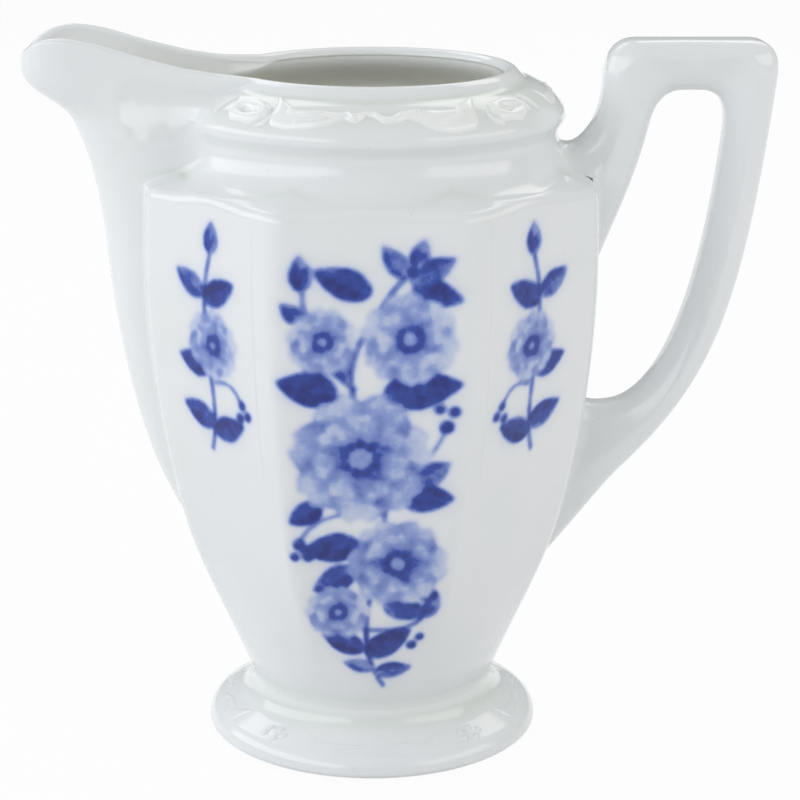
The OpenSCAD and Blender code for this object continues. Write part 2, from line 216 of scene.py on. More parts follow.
def drawn_turn(turn, row, edge):
    """Angle of a column once it is drawn square to the lip's ridge."""
    start = from_spout(turn)
    return turn + (np.interp(start, LIP_TURN, edge[0]) - start) * ease((row - DRAW_ROW) / (5 - DRAW_ROW))


def lip_roll(turn, row, side):
    """The rounded edge of the lip, from its outer or inner side up to the ridge."""
    start = from_spout(turn)
    lean, out_x, out_y, roll, x, y, z = (
        np.interp(start, LIP_TURN, values) for values in (LIP_LEAN, *LIP_OUT.T, LIP_ROLL, *ridge.T)
    )
    lean = lean if side > 0 else 0.0
    over = lean + np.clip(row - 5, 0, 1) * (math.pi / 2 - lean)
    x = x + side * np.cos(over) * out_x
    y = y + side * np.cos(over) * out_y
    return np.arctan2(y, x), np.hypot(x, y), z - roll * (1 - np.sin(over))


def spout_half_width(z):
    grown = np.clip((z - SPOUT_ROOT_Z) / (BELLY_Z - SPOUT_ROOT_Z), 0, 1)
    full = SPOUT_HALF_W * (SPOUT_ROOT_SHARE + (1 - SPOUT_ROOT_SHARE) * np.sin(grown * math.pi / 2))
    return full - LIP_PINCH * np.clip((z - COVE_Z) / (RIM_Z - COVE_Z), 0, 1)


def spout_radius(turn, z, inset, edge):
    """Radius of the spout's skin: a blunt half oval across the keel, drawn to the lip's edge. The
    radius is found by halving."""
    off = np.minimum(np.abs(from_spout(turn)), math.pi / 2)
    nose = np.interp(z, KEEL[:, 1], KEEL[:, 0]) - inset
    seat = np.minimum(SPOUT_SEAT, flat_at(np.minimum(z, BELLY_Z)) - SPOUT_SEAT_IN) - inset
    seat = seat - SEAT_SINK * ease((SPOUT_ROOT_Z - SEAT_SINK_BELOW - z) / SEAT_SINK_RUN)
    half_w = spout_half_width(z) - inset
    depth = np.maximum(nose - seat, 0.05)
    near = np.zeros(np.broadcast(off, z).shape)
    far = near + SEARCH_REACH
    for _ in range(SEARCH_STEPS):
        middle = (near + far) / 2
        reach = np.maximum(middle * np.cos(off) - seat, 0) / depth
        inside = reach**SPOUT_BLUNT + (middle * np.sin(off) / half_w) ** SPOUT_BLUNT < 1
        near = np.where(inside, middle, near)
        far = np.where(inside, far, middle)
    to_lip = ease((z - LIP_BLEND_Z) / (lip_foot(turn, edge) - LIP_BLEND_Z))
    return near * (1 - to_lip) + lip_radius(turn, edge) * to_lip


# Turned profile of the collar, as the five stretches that the rows of the wall pass through
CREASE_TO_RIM = np.array([28.5, 125.8])
SLOPE_FOOT = np.array([35.2, 120.75])
SLOPE_BULGE = 0.9
RIM_FOOT = np.array([(RIM_OUT + MOUTH_R + (RIM_OUT - MOUTH_R) * math.cos(RIM_LEAN)) / 2,
                     RIM_Z - RIM_ROLL * (1 - math.sin(RIM_LEAN))])
slope_chord = CREASE_TO_RIM - SLOPE_FOOT
slope_out = np.array([slope_chord[1], -slope_chord[0]]) / np.linalg.norm(slope_chord)
slope_bow = slope_out * SLOPE_BULGE * 4 / 3
UNDER_LEDGE = np.concatenate([
    bezier([[34.13, 116.5], [34.13, 117.3], [34.75, 118.2], [35.15, 118.8]], 12),
    bezier([[35.15, 118.8], [35.45, 119.25], [35.55, 119.9], SLOPE_FOOT], 12)[1:],
])
SLOPE_BAND = bezier([SLOPE_FOOT, SLOPE_FOOT + slope_chord / 3 + slope_bow,
                     CREASE_TO_RIM - slope_chord / 3 + slope_bow, CREASE_TO_RIM], 30)
SLOPE = np.concatenate([
    SLOPE_BAND,
    bezier([CREASE_TO_RIM, CREASE_TO_RIM + [-0.5, 0.15], RIM_FOOT + [0.8, -0.8], RIM_FOOT], 10)[1:],
])
INNER_COVE = bezier([[34.0, 110.0], [32.0, 111.3], [31.1, 113.0], [31.1, 116.5]], 20)
INNER_LEDGE = bezier([[31.1, 116.5], [31.1, 118.5], [31.1, 119.0], [31.0, 120.0]], 10)
INNER_SLOPE = bezier([[31.0, 120.0], [30.2, 122.6], [MOUTH_R, 123.2], [MOUTH_R, RIM_Z - RIM_ROLL]], 30)
LEDGE_FROM = math.radians(23)
LEDGE_RISE = math.radians(11)
LEDGE_FADE_ROWS = 0.4
INNER_TOP_Z = 103.0
INNER_TOP_IN = 0.97
RAISE_FROM_Z = 112.0
CORNER_FROM = math.radians(5)
CORNER_SPAN = math.radians(17.5)
CORNER_POWER = 1.4
EDGE_ENDS = 0.45
LEDGE_ENDS = 0.7

# Slip fillet beside the spout: thin on the panel, wide from the shoulder up, and none at the lip
FILLET_OUT = 1.2
FILLET_OUT_WIDE = 8.5
WIDE_OUT_Z = 104.0
WIDE_OUT_RUN = 18.0
LESS_OUT_Z = 122.5
LESS_OUT_RUN = 5.0
FADE_OUT_ROW = 4.2
FILLET_IN = 0.6
FILLET_IN_WIDE = 5.4
WIDE_IN_Z = 100.0
WIDE_IN_RUN = 12.0
FADE_IN_ROW = 4.6


def along_profile(profile, share):
    """Points at given shares of a profile's length, as radius and height."""
    steps = np.linalg.norm(np.diff(profile, axis=0), axis=1)
    length = np.concatenate([[0], np.cumsum(steps)]) / steps.sum()
    return np.interp(share, length, profile[:, 0]), np.interp(share, length, profile[:, 1])


def bend(a, corner, b, share):
    """Points on a curve that rounds a corner."""
    return (1 - share) ** 2 * a + 2 * (1 - share) * share * corner + share**2 * b


def corner_share(turn):
    """0 along the middle of each panel, 1 at the corners."""
    return np.clip((off_panel_middle(turn) - CORNER_FROM) / CORNER_SPAN, 0, 1) ** CORNER_POWER


def shoulder(turn, share):
    """The rounded top edge of the panels, the small ledge at each corner and the crease above it."""
    low_z = SHOULDER_LOW + 0 * turn
    edge_z = SHOULDER_Z - SHOULDER_DROP * corner_share(turn)
    crease_r = CREASE_R - CREASE_CUT * corner_share(turn)
    start = np.stack([panel_radius(turn, low_z), low_z])
    edge = np.stack([panel_radius(turn, edge_z), edge_z])
    crease = np.stack([crease_r, cove_z(crease_r)])
    span = np.hypot(*(crease - edge))
    after = edge + (crease - edge) * np.minimum(SHOULDER_ROUND / span, 0.5)
    before = crease + (edge - crease) * np.minimum(CREASE_ROUND / span, 0.45)
    cove_angle = np.arctan2(crease[1] - COVE_Z, crease_r - COVE_X) - CREASE_ROUND / COVE_R
    end = np.stack([COVE_X + COVE_R * np.cos(cove_angle), COVE_Z + COVE_R * np.sin(cove_angle)])
    first = np.clip(share / EDGE_ENDS, 0, 1)
    second = np.clip((share - EDGE_ENDS) / (LEDGE_ENDS - EDGE_ENDS), 0, 1)
    third = np.clip((share - LEDGE_ENDS) / (1 - LEDGE_ENDS), 0, 1)
    r, z = np.where(share < EDGE_ENDS, bend(start, edge, after, first),
                    np.where(share < LEDGE_ENDS, after + (before - after) * second,
                             bend(before, crease, end, third)))
    return r, z, cove_angle


def raised(turn, z, edge):
    """Height of a row once the wall is drawn up to the spout's lip."""
    rim_foot = edge[2][0]
    return z + (lip_foot(turn, edge) - rim_foot) * ease((z - RAISE_FROM_Z) / (rim_foot - RAISE_FROM_Z))


def stacked(row, r, z, stretches):
    """Radius and height at each row, from the panel's own and the stretches of the profile above it."""
    for start, (part_r, part_z) in enumerate(stretches, 1):
        r = np.where(row > start, part_r, r)
        z = np.where(row > start, part_z, z)
    return r, z


def with_lip(column, row, wall, side):
    """A skin with its rolled lip on top."""
    return tuple(np.where(row > 5, roll, below) for roll, below in zip(lip_roll(column, row, side), wall))


def outer_wall(column, row):
    """Outer skin of body, collar and spout, as angle, radius and height at each column and row.
    Rows: 0 neck, 1 shoulder, 2 cove, 3 ledge, 4 slope, 5 lip, 6 ridge."""
    column, row = np.broadcast_arrays(column, row)
    turn = drawn_turn(column, row, OUTER_LIP)
    panel_z = NECK_Z + (SHOULDER_LOW - NECK_Z) * np.clip(row, 0, 1)
    shoulder_r, shoulder_z, cove_start = shoulder(turn, np.clip(row - 1, 0, 1))
    cove_start = cove_start % (2 * math.pi)
    cove_angle = cove_start + (math.pi - cove_start) * np.clip(row - 2, 0, 1)
    ledge_r, ledge_z = along_profile(UNDER_LEDGE, np.clip(row - 3, 0, 1))
    slope_r, slope_z = along_profile(SLOPE, np.clip(row - 4, 0, 1))
    ledge_share = ease((np.abs(from_spout(turn)) - LEDGE_FROM) / LEDGE_RISE)
    ledge_r = UNDER_LEDGE[0, 0] + (ledge_r - UNDER_LEDGE[0, 0]) * ledge_share
    ledge_loss = (SLOPE_FOOT[0] - UNDER_LEDGE[0, 0]) * (1 - ledge_share)
    slope_r = slope_r - ledge_loss * (1 - ease((row - 4) / LEDGE_FADE_ROWS))
    r, z = stacked(row, panel_radius(turn, panel_z), panel_z, [
        (shoulder_r, shoulder_z),
        (COVE_X + COVE_R * np.cos(cove_angle), COVE_Z + COVE_R * np.sin(cove_angle)),
        (ledge_r, ledge_z),
        (slope_r, slope_z),
    ])
    z = raised(turn, z, OUTER_LIP)
    wide = ease((z - WIDE_OUT_Z) / WIDE_OUT_RUN) - ease((z - LESS_OUT_Z) / LESS_OUT_RUN)
    fade = 1 - ease((row - FADE_OUT_ROW) / (5 - FADE_OUT_ROW))
    fillet = (FILLET_OUT + FILLET_OUT_WIDE * wide) * fade
    r = fillet_max(r, spout_radius(turn, z, 0.0, OUTER_LIP), fillet)
    return with_lip(column, row, (turn, r, z), 1)


def inner_wall(column, row):
    """Inner skin of the wall, on the same columns and rows as the outer skin."""
    column, row = np.broadcast_arrays(column, row)
    turn = drawn_turn(column, row, INNER_LIP)
    panel_z = FLOOR_Z + (INNER_TOP_Z - FLOOR_Z) * np.clip(row, 0, 1)
    below = np.clip(FLOOR_FILLET - (panel_z - FLOOR_Z), 0, FLOOR_FILLET)
    panel_r = panel_radius(turn, panel_z) - WALL - FLOOR_FILLET + np.sqrt(FLOOR_FILLET**2 - below**2)
    share = np.clip(row - 1, 0, 1)
    top_r = panel_radius(turn, INNER_TOP_Z + 0 * turn) - WALL
    cove_r, cove_low = INNER_COVE[0]
    r, z = stacked(row, panel_r, panel_z, [
        (bend(top_r, INNER_TOP_IN * top_r, cove_r, share),
         bend(INNER_TOP_Z, cove_low - 1, cove_low, share)),
        along_profile(INNER_COVE, np.clip(row - 2, 0, 1)),
        along_profile(INNER_LEDGE, np.clip(row - 3, 0, 1)),
        along_profile(INNER_SLOPE, np.clip(row - 4, 0, 1)),
    ])
    z = raised(turn, z, INNER_LIP)
    fade = 1 - ease((row - FADE_IN_ROW) / (5 - FADE_IN_ROW))
    fillet = (FILLET_IN + FILLET_IN_WIDE * ease((z - WIDE_IN_Z) / WIDE_IN_RUN)) * fade
    r = fillet_max(r, spout_radius(turn, z, SPOUT_WALL, INNER_LIP), fillet)
    return with_lip(column, row, (turn, r, z), -1)


def in_place(turn, r, z):
    """Points in millimetres. The spout is at angle 0 and the front at a quarter turn."""
    turn, r, z = np.broadcast_arrays(turn, r, z)
    return np.stack([-r * np.cos(turn), -r * np.sin(turn), z], axis=-1)


def skin(wall, columns, rows):
    """Points and normals of one skin, with the normals taken across the ends of the piece."""
    step_up = 0.004
    step_round = math.radians(0.25)
    last_row = 5.999
    points = in_place(*wall(columns, rows))
    side = in_place(*wall(columns + step_round, rows)) - in_place(*wall(columns - step_round, rows))
    up = in_place(*wall(columns, np.minimum(rows + step_up, last_row)))
    up = up - in_place(*wall(columns, np.maximum(rows - step_up, 0.0)))
    normals = np.cross(side, up)
    length = np.linalg.norm(normals, axis=-1, keepdims=True)
    return points, normals / np.maximum(length, 1e-9)


def new_mesh(name, points, faces, sharp=None):
    """A smooth mesh from points in millimetres. Edges sharper than an angle stay creased."""
    mesh = bpy.data.meshes.new(name)
    mesh.from_pydata((points * MM).tolist(), [], faces)
    mesh.update()
    mesh.shade_smooth()
    if sharp is not None:
        mesh.set_sharp_from_angle(angle=sharp)
    return mesh


def walled_mesh(name, outer, inner, ring, cells=None, centres=None):
    """A closed wall between two skins. Cells left out are walled round, and centres close the floor."""
    (points_o, normals_o), (points_i, normals_i) = outer, inner
    rows, cols = points_o.shape[:2]
    count = rows * cols
    index = np.arange(count).reshape(rows, cols)
    if ring:
        index = np.concatenate([index, index[:, :1]], axis=1)
    spans = index.shape[1] - 1
    if cells is None:
        cells = np.ones((rows - 1, spans), bool)
    a, b = index[:-1, :-1][cells], index[:-1, 1:][cells]
    c, d = index[1:, 1:][cells], index[1:, :-1][cells]
    quads = [np.stack([a, b, c, d], 1), np.stack([d, c, b, a], 1) + count]
    padded = np.zeros((rows + 1, spans + 2), bool)
    padded[1:-1, 1:-1] = cells
    if ring:
        padded[1:-1, 0] = cells[:, -1]
        padded[1:-1, -1] = cells[:, 0]
    lower, upper = padded[:-1, 1:-1], padded[1:, 1:-1]
    left, right = padded[1:-1, :-1], padded[1:-1, 1:]
    tops = np.argwhere(lower & ~upper)
    bottoms = np.argwhere(~lower & upper)
    if centres is not None:
        bottoms = bottoms[bottoms[:, 0] > 0]
    rights = np.argwhere(left & ~right)
    lefts = np.argwhere(~left & right)
    if ring:
        rights = rights[rights[:, 1] > 0]
        lefts = lefts[lefts[:, 1] < spans]
    for places, first, second in ((tops, (0, 0), (0, 1)), (bottoms, (0, 1), (0, 0)),
                                  (rights, (1, 0), (0, 0)), (lefts, (0, 0), (1, 0))):
        if len(places):
            p = index[places[:, 0] + first[0], places[:, 1] + first[1]]
            q = index[places[:, 0] + second[0], places[:, 1] + second[1]]
            quads.append(np.stack([p, q, q + count, p + count], 1))
    quads = np.concatenate(quads)
    points = np.concatenate([points_o.reshape(-1, 3), points_i.reshape(-1, 3)])
    faces = quads.tolist()
    if centres is not None:
        points = np.concatenate([points, np.array(centres, float)])
        for j in range(spans):
            faces.append([index[0, j + 1], index[0, j], 2 * count])
            faces.append([index[0, j] + count, index[0, j + 1] + count, 2 * count + 1])
    mesh = new_mesh(name, points, faces)
    normals = np.concatenate([normals_o.reshape(-1, 3), -normals_i.reshape(-1, 3)])
    corner_normals = np.zeros((len(mesh.loops), 3))
    skins = 2 * int(cells.sum())
    corner_normals[: skins * 4] = normals[quads[:skins].reshape(-1)]
    mesh.normals_split_custom_set(corner_normals.tolist())
    return mesh


def set_values(mesh, name, values):
    """Stores one number per point of a mesh. Points beyond the values given get zero."""
    stored = np.zeros(len(mesh.vertices))
    stored[: values.size] = values.reshape(-1)
    mesh.attributes.new(name, "FLOAT", "POINT").data.foreach_set("value", stored)


def add_piece(name, mesh, material, nodes):
    """Puts a finished mesh into the scene, tied to the jug's one body."""
    piece = bpy.data.objects.new(name, mesh)
    bpy.context.scene.collection.objects.link(piece)
    mesh.materials.clear()
    mesh.materials.append(material)
    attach(piece, "root")
    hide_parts(*nodes)


# Half angle of the slot, row by row, where the spout's wall leaves the panel or the collar
SLOT_AT = np.array([
    [0.0, 15.0], [0.3, 15.0], [0.48, 15.6], [0.7, 17.2], [0.9, 18.0], [1.0, 18.2], [2.0, 19.5],
    [2.5, 22.5], [3.0, 24.5], [3.5, 24.2], [4.0, 25.0], [4.4, 28.5], [4.8, 36.0], [5.0, 41.0],
    [6.0, 44.0],
])

# Pooled glaze and painted shade, each as how deep, at which row and over how many rows. Under the ledge,
# below the rim and by the neck the glaze has run together, and painted shade is laid with it in the same
# colour. On the sloping band, at the corner creases and beside the spout it is painted shade.
POOL_AND_SHADE_LEDGE = (0.12, 3.2, 0.14)
POOL_AND_SHADE_RIM = (0.6, 4.76, 0.09)
# Painted shade across the sloping band, not a hollow where glaze runs together.
SHADE_ON_SLOPE = (0.4, 4.4, 0.3)
# Painted shade in the crease above the small ledge at each corner of the shoulder.
SHADE_AT_CORNERS = (0.45, 2.0, 0.2)
POOL_AND_SHADE_NECK = (0.35, 0.0, 0.03)
# Painted shade in the crease where the cove meets the spout's side.
SHADE_BY_SPOUT = (0.7, 1.95, 0.22)
POOL_AND_SHADE_CLEAR = 0.35
BESIDE_SLOT = 1.22
BESIDE_SPREAD = 0.2
WITHIN_ROW = 5.2
WITHIN_RUN = 2.5


def slot_edge(row):
    return np.radians(np.interp(row, SLOT_AT[:, 0], SLOT_AT[:, 1]))


def pool_and_shade_at(rows, deep, middle, spread):
    return deep * np.exp(-(((rows - middle) / spread) ** 2))


def pool_and_shade_depth(columns, rows):
    """How deep the pooled glaze and painted shade are: under the ledge and the rim, on the sloping band,
    in the cove and by the neck.
    """
    off = np.abs(from_spout(columns)) / slot_edge(rows)
    depth = sum(pool_and_shade_at(rows, *pool_and_shade) for pool_and_shade in (POOL_AND_SHADE_LEDGE, POOL_AND_SHADE_RIM, SHADE_ON_SLOPE))
    depth = depth + pool_and_shade_at(rows, *SHADE_AT_CORNERS) * corner_share(columns)
    depth = depth * ease((off - 1) / POOL_AND_SHADE_CLEAR) + pool_and_shade_at(rows, *POOL_AND_SHADE_NECK)
    depth = depth + pool_and_shade_at(rows, *SHADE_BY_SPOUT) * pool_and_shade_at(off, 1.0, BESIDE_SLOT, BESIDE_SPREAD)
    return np.clip(depth, 0, 1)


def glaze_wall(mesh, columns, rows):
    """Stores where pooled glaze and painted shade darken the outer skin, and how far the points lie
    inside the jug, where painted bounce light lightens the colour.
    """
    columns, rows = np.broadcast_arrays(columns, rows)
    within = ease((WITHIN_ROW - rows) / WITHIN_RUN)
    set_values(mesh, "glaze_pool_and_shade", pool_and_shade_depth(columns, rows))
    set_values(mesh, "within", np.concatenate([0 * within, within]))


# The glaze, first needed here: clear, glossy and cool white, with faint clouds and a few specks. It is
# grey-green where it has run together, and the same colour is painted as shade in creases and hollows.
# Deep inside the jug it is painted lighter and warmer as bounce light. The ring that it stands on is
# bare.
GLAZE_WHITE = (0.80, 0.82, 0.84, 1.0)
# Grey-green of pooled glaze, also used as painted shade.
POOLED_GLAZE_AND_SHADE = (0.66, 0.72, 0.67, 1.0)
# Painted bounce light: lighter and warmer than the glaze, for light bouncing round inside the jug.
INSIDE_BOUNCE_LIGHT = (0.975, 0.975, 0.885, 1.0)
BARE_BISCUIT = (0.70, 0.68, 0.65, 1.0)
SPECK_BROWN = (0.42, 0.36, 0.30, 1.0)
GLOSS = 0.07
GLOSS_VARIES = 0.02
BARE_ROUGHNESS = 0.7
BARE_BELOW = 0.0003
CLOUD_SCALE = 45.0
PEEL_SCALE = 420.0
PEEL_STRENGTH = 0.03
PEEL_HEIGHT = 0.0005
SPECK_SCALE = 210.0


def add_node(tree, kind, inputs=None, **settings):
    """A new node with its settings. Each input is a socket to link from, or a plain value."""
    node = tree.nodes.new(kind)
    for name, value in settings.items():
        setattr(node, name, value)
    for name, value in (inputs or {}).items():
        if isinstance(value, bpy.types.NodeSocket):
            tree.links.new(value, node.inputs[name])
        else:
            node.inputs[name].default_value = value
    return node


def mix_colours(tree, share, first, second):
    """The output of a colour mix between sockets or plain colours."""
    return add_node(tree, "ShaderNodeMix", {0: share, 6: first, 7: second}, data_type="RGBA").outputs[2]


def ramp_value(tree, value, low, high, to_low, to_high, **settings):
    """The output of a map range node."""
    inputs = {"Value": value, "From Min": low, "From Max": high, "To Min": to_low, "To Max": to_high}
    return add_node(tree, "ShaderNodeMapRange", inputs, **settings).outputs["Result"]


def calculate(tree, operation, *values, **settings):
    """The output of a math node."""
    inputs = dict(enumerate(values))
    return add_node(tree, "ShaderNodeMath", inputs, operation=operation, **settings).outputs[0]


def noise(tree, place, scale, detail):
    """The output of a noise texture."""
    inputs = {"Vector": place, "Scale": scale, "Detail": detail}
    return add_node(tree, "ShaderNodeTexNoise", inputs).outputs["Fac"]


glaze = bpy.data.node_groups.new("glaze", "ShaderNodeTree")
for name in ("White", "Pooled_and_shade", "Inside"):
    glaze.interface.new_socket(name, in_out="INPUT", socket_type="NodeSocketColor")
for name, kind in (("Color", "Color"), ("Roughness", "Float"), ("Height", "Float")):
    glaze.interface.new_socket(name, in_out="OUTPUT", socket_type="NodeSocket" + kind)
given = add_node(glaze, "NodeGroupInput").outputs
place = add_node(glaze, "ShaderNodeTexCoord").outputs["Object"]
pool_and_shade, within = (add_node(glaze, "ShaderNodeAttribute", attribute_name=name).outputs["Fac"]
                for name in ("glaze_pool_and_shade", "within"))
clouds = noise(glaze, place, CLOUD_SCALE, 3.0)
peel = noise(glaze, place, PEEL_SCALE, 1.0)
cells = add_node(glaze, "ShaderNodeTexVoronoi", {"Vector": place, "Scale": SPECK_SCALE})
specks = ramp_value(glaze, cells.outputs["Distance"], 0.025, 0.05, 0.2, 0.0)
height = add_node(glaze, "ShaderNodeSeparateXYZ", {"Vector": place}).outputs["Z"]
bare = ramp_value(glaze, height, BARE_BELOW / 2, BARE_BELOW, 1.0, 0.0)
gloss = ramp_value(glaze, clouds, 0.3, 0.7, GLOSS - GLOSS_VARIES, GLOSS + GLOSS_VARIES)
cloudy = ramp_value(glaze, clouds, 0.35, 0.7, 0.0, 0.16)
# Pooled glaze and painted shade, with the faint clouds, turn the white towards grey-green.
pool_and_shade_share = calculate(glaze, "ADD", pool_and_shade, cloudy, use_clamp=True)
glaze_colour = mix_colours(glaze, pool_and_shade_share, given["White"], given["Pooled_and_shade"])
# Painted bounce light inside the jug, then the specks and the bare ring.
for share, colour in ((within, given["Inside"]), (specks, SPECK_BROWN), (bare, BARE_BISCUIT)):
    glaze_colour = mix_colours(glaze, share, glaze_colour, colour)
roughness = calculate(glaze, "MULTIPLY_ADD", bare, BARE_ROUGHNESS, gloss)
add_node(glaze, "NodeGroupOutput", {"Color": glaze_colour, "Roughness": roughness, "Height": peel})


def glazed_material(name, white):
    """A glossy porcelain material. Returns it with its tree, its shader and its glaze node."""
    material = bpy.data.materials.new(name)
    material.use_nodes = True
    tree = material.node_tree
    shader = tree.nodes["Principled BSDF"]
    colours = {"White": white, "Pooled_and_shade": POOLED_GLAZE_AND_SHADE, "Inside": INSIDE_BOUNCE_LIGHT}
    coat = add_node(tree, "ShaderNodeGroup", colours, node_tree=glaze)
    orange_peel = {"Strength": PEEL_STRENGTH, "Distance": PEEL_HEIGHT, "Height": coat.outputs["Height"]}
    bump = add_node(tree, "ShaderNodeBump", orange_peel)
    tree.links.new(bump.outputs["Normal"], shader.inputs["Normal"])
    tree.links.new(coat.outputs["Color"], shader.inputs["Base Color"])
    tree.links.new(coat.outputs["Roughness"], shader.inputs["Roughness"])
    return material, tree, shader, coat


porcelain = glazed_material("glazed_porcelain", GLAZE_WHITE)[0]


def add_wall(name, columns, rows, ring=False, cells=None, centres=None):
    """One piece of the jug's glazed wall, between the outer and the inner skin."""
    skins = [skin(wall, columns, rows) for wall in (outer_wall, inner_wall)]
    mesh = walled_mesh(name, *skins, ring, cells, centres)
    glaze_wall(mesh, columns, rows)
    add_piece(name, mesh, porcelain, [name])


SLOT_SPANS = 40
ROUND_SPANS = 320
body_rows = np.concatenate([np.linspace(0, 0.06, 13), np.linspace(0.06, 1, 68)[1:],
                            np.linspace(1, 2, 25)[1:]])[:, None]
slot = slot_edge(body_rows)
body_columns = np.concatenate([
    -slot + 2 * slot * np.arange(SLOT_SPANS) / SLOT_SPANS,
    slot + (2 * math.pi - 2 * slot) * np.arange(ROUND_SPANS) / ROUND_SPANS,
], axis=1)
root_row = int(np.searchsorted(body_rows[:, 0], (SPOUT_ROOT_Z - NECK_Z) / (SHOULDER_LOW - NECK_Z)))
body_cells = np.ones((len(body_rows) - 1, SLOT_SPANS + ROUND_SPANS), bool)
body_cells[root_row:, :SLOT_SPANS] = False
add_wall("body", body_columns, body_rows, True, body_cells, [[0, 0, NECK_Z], [0, 0, FLOOR_Z]])

# Collar: a turned porcelain ring luted onto the shoulder, with a hollow cove, an undercut ledge,
# a sloping band that carries the relief, and a rolled rim. It is cut open where the spout joins.
COLLAR_SPANS = 360
collar_rows = np.concatenate([np.linspace(2, 3, 22), np.linspace(3, 4, 28)[1:],
                              np.linspace(4, 5, 30)[1:], np.linspace(5, 5.94, 10)[1:]])[:, None]
slot = slot_edge(collar_rows)
collar_columns = slot + (2 * math.pi - 2 * slot) * np.linspace(0, 1, COLLAR_SPANS + 1)
add_wall("collar", collar_columns, collar_rows)

# Spout: a hollow beak of porcelain, cast apart, set over the slot in the panel and the gap in the
# collar, and drawn out at the lip into a thin raised pouring edge.
SPOUT_SPANS = 180
spout_rows = np.concatenate([body_rows[root_row:], collar_rows[1:]])
spout_columns = slot_edge(spout_rows) * np.linspace(-1, 1, SPOUT_SPANS + 1)
add_wall("spout", spout_columns, spout_rows)

# Foot: a turned hollow ring luted under the neck: a hollow moulding, a sloping band for the relief
# and a round lower edge. The ring it stands on is wiped clean of glaze and shows the bare biscuit.
FOOT_R = 31.75
FOOT_BELLY_Z = 1.6
FOOT_RING_IN = 25.6
FOOT_RING_OUT = 27.8
FOOT_WALL = 3.5
FOOT_ROUND = 3.5
FOOT_HOLLOW = 5.2
FOOT_BORE = 19.4
FOOT_SPANS = 240
FOOT_SHARP = math.radians(35)
FOOT_POOL_AND_SHADE = (0.5, 8.6, 1.5)
round_centre = np.array([FOOT_R - FOOT_ROUND, FOOT_BELLY_Z])
hollow_centre = np.array([NECK_R + FOOT_HOLLOW, NECK_Z])
centre_gap = hollow_centre - round_centre
BAND_TILT = math.atan2(centre_gap[1], centre_gap[0]) - math.acos(
    min(1.0, (FOOT_ROUND + FOOT_HOLLOW) / np.linalg.norm(centre_gap))
)
BAND_OUT = np.array([math.cos(BAND_TILT), math.sin(BAND_TILT)])
band_low = round_centre + FOOT_ROUND * BAND_OUT
band_high = hollow_centre - FOOT_HOLLOW * BAND_OUT


def arc_points(centre, radius, start, end, steps):
    turn = np.linspace(start, end, steps + 1)[:, None]
    return centre + radius * np.concatenate([np.cos(turn), np.sin(turn)], axis=1)


def ring_mesh(name, profile, spans, sharp):
    """A closed profile turned round the axis."""
    turn = np.linspace(0, 2 * math.pi, spans + 1)[:-1]
    points = in_place(turn[None, :], profile[:, :1], profile[:, 1:] + 0 * turn[None, :])
    index = np.arange(len(profile) * spans).reshape(len(profile), spans)
    right = np.roll(index, -1, axis=1)
    faces = np.stack([index, right, np.roll(right, -1, axis=0), np.roll(index, -1, axis=0)], -1)
    return new_mesh(name, points.reshape(-1, 3), faces.reshape(-1, 4).tolist(), sharp)


band_back = band_high - FOOT_WALL * BAND_OUT
foot_profile = np.concatenate([
    [[FOOT_RING_IN, 0.0]],
    bezier([[FOOT_RING_OUT, 0.0], [FOOT_R - 1.5, 0.0], [FOOT_R, 0.7], [FOOT_R, FOOT_BELLY_Z]], 12),
    arc_points(round_centre, FOOT_ROUND, 0, BAND_TILT, 20)[1:],
    arc_points(hollow_centre, FOOT_HOLLOW, math.pi + BAND_TILT, math.pi, 24),
    [[FOOT_BORE, NECK_Z], [FOOT_BORE, NECK_Z - FOOT_WALL]],
    bezier([[FOOT_BORE, NECK_Z - FOOT_WALL], band_back - [0.6, 0], band_back + [1, -0.7],
            [FOOT_RING_IN, FOOT_BELLY_Z]], 12)[1:],
])
foot_mesh = ring_mesh("foot", foot_profile, FOOT_SPANS, FOOT_SHARP)
# Pooled glaze and painted shade in the foot's hollow below the neck.
foot_pool_and_shade = pool_and_shade_at(foot_profile[:, 1], *FOOT_POOL_AND_SHADE) * (foot_profile[:, 0] > NECK_R - 0.1)
set_values(foot_mesh, "glaze_pool_and_shade", np.repeat(foot_pool_and_shade, FOOT_SPANS))
add_piece("foot", foot_mesh, porcelain, ["foot"])

# Handle: a solid loop of porcelain with rounded edges and a blunt ridge down each side, pressed in a
# two-part mould and luted to the shoulder and to the panel below. Slip is worked into a fillet round
# each root.
HANDLE_REACH = 74.4
HANDLE_TOP = 133.1
HANDLE_BAR = 9.2
HANDLE_W = 11.6
HANDLE_ROUND = 3.4
HANDLE_ROOT_Z = 31.5
HANDLE_STAND = 6.7
LEDGE_OUT = 1.4
ROOT_FILLET = 3.4
ROOT_SINK = 0.3
CAP_SINK = 0.8
CAP_RINGS = 8
HANDLE_SHARP = math.radians(60)
HANDLE_POOL_AND_SHADE = 0.45
POOL_AND_SHADE_RINGS = 14
SKIRT_SMOOTHING = 6
TO_COVE_BELOW = 1.2
TO_COVE = 1.8
WAIST_R = COVE_X - COVE_R
UPRIGHT = WAIST_R + LEDGE_OUT + HANDLE_STAND
CORNER_DROP = 7.1
CORNER_RUN = 6.1
INNER_DROP = 6.6
INNER_RUN = 5.3


def bend_curve(a, corner, b):
    a, corner, b = np.array(a, float), np.array(corner, float), np.array(b, float)
    return [a, (a + 2 * corner) / 3, (b + 2 * corner) / 3, b]


def straight(a, b):
    a, b = np.array(a, float), np.array(b, float)
    return [a, (2 * a + b) / 3, (a + 2 * b) / 3, b]


def chain(curves, steps):
    """Points along cubic curves set end to end."""
    runs = [bezier(curve, n)[(0 if i == 0 else 1):] for i, (curve, n) in enumerate(zip(curves, steps))]
    return np.concatenate(runs)


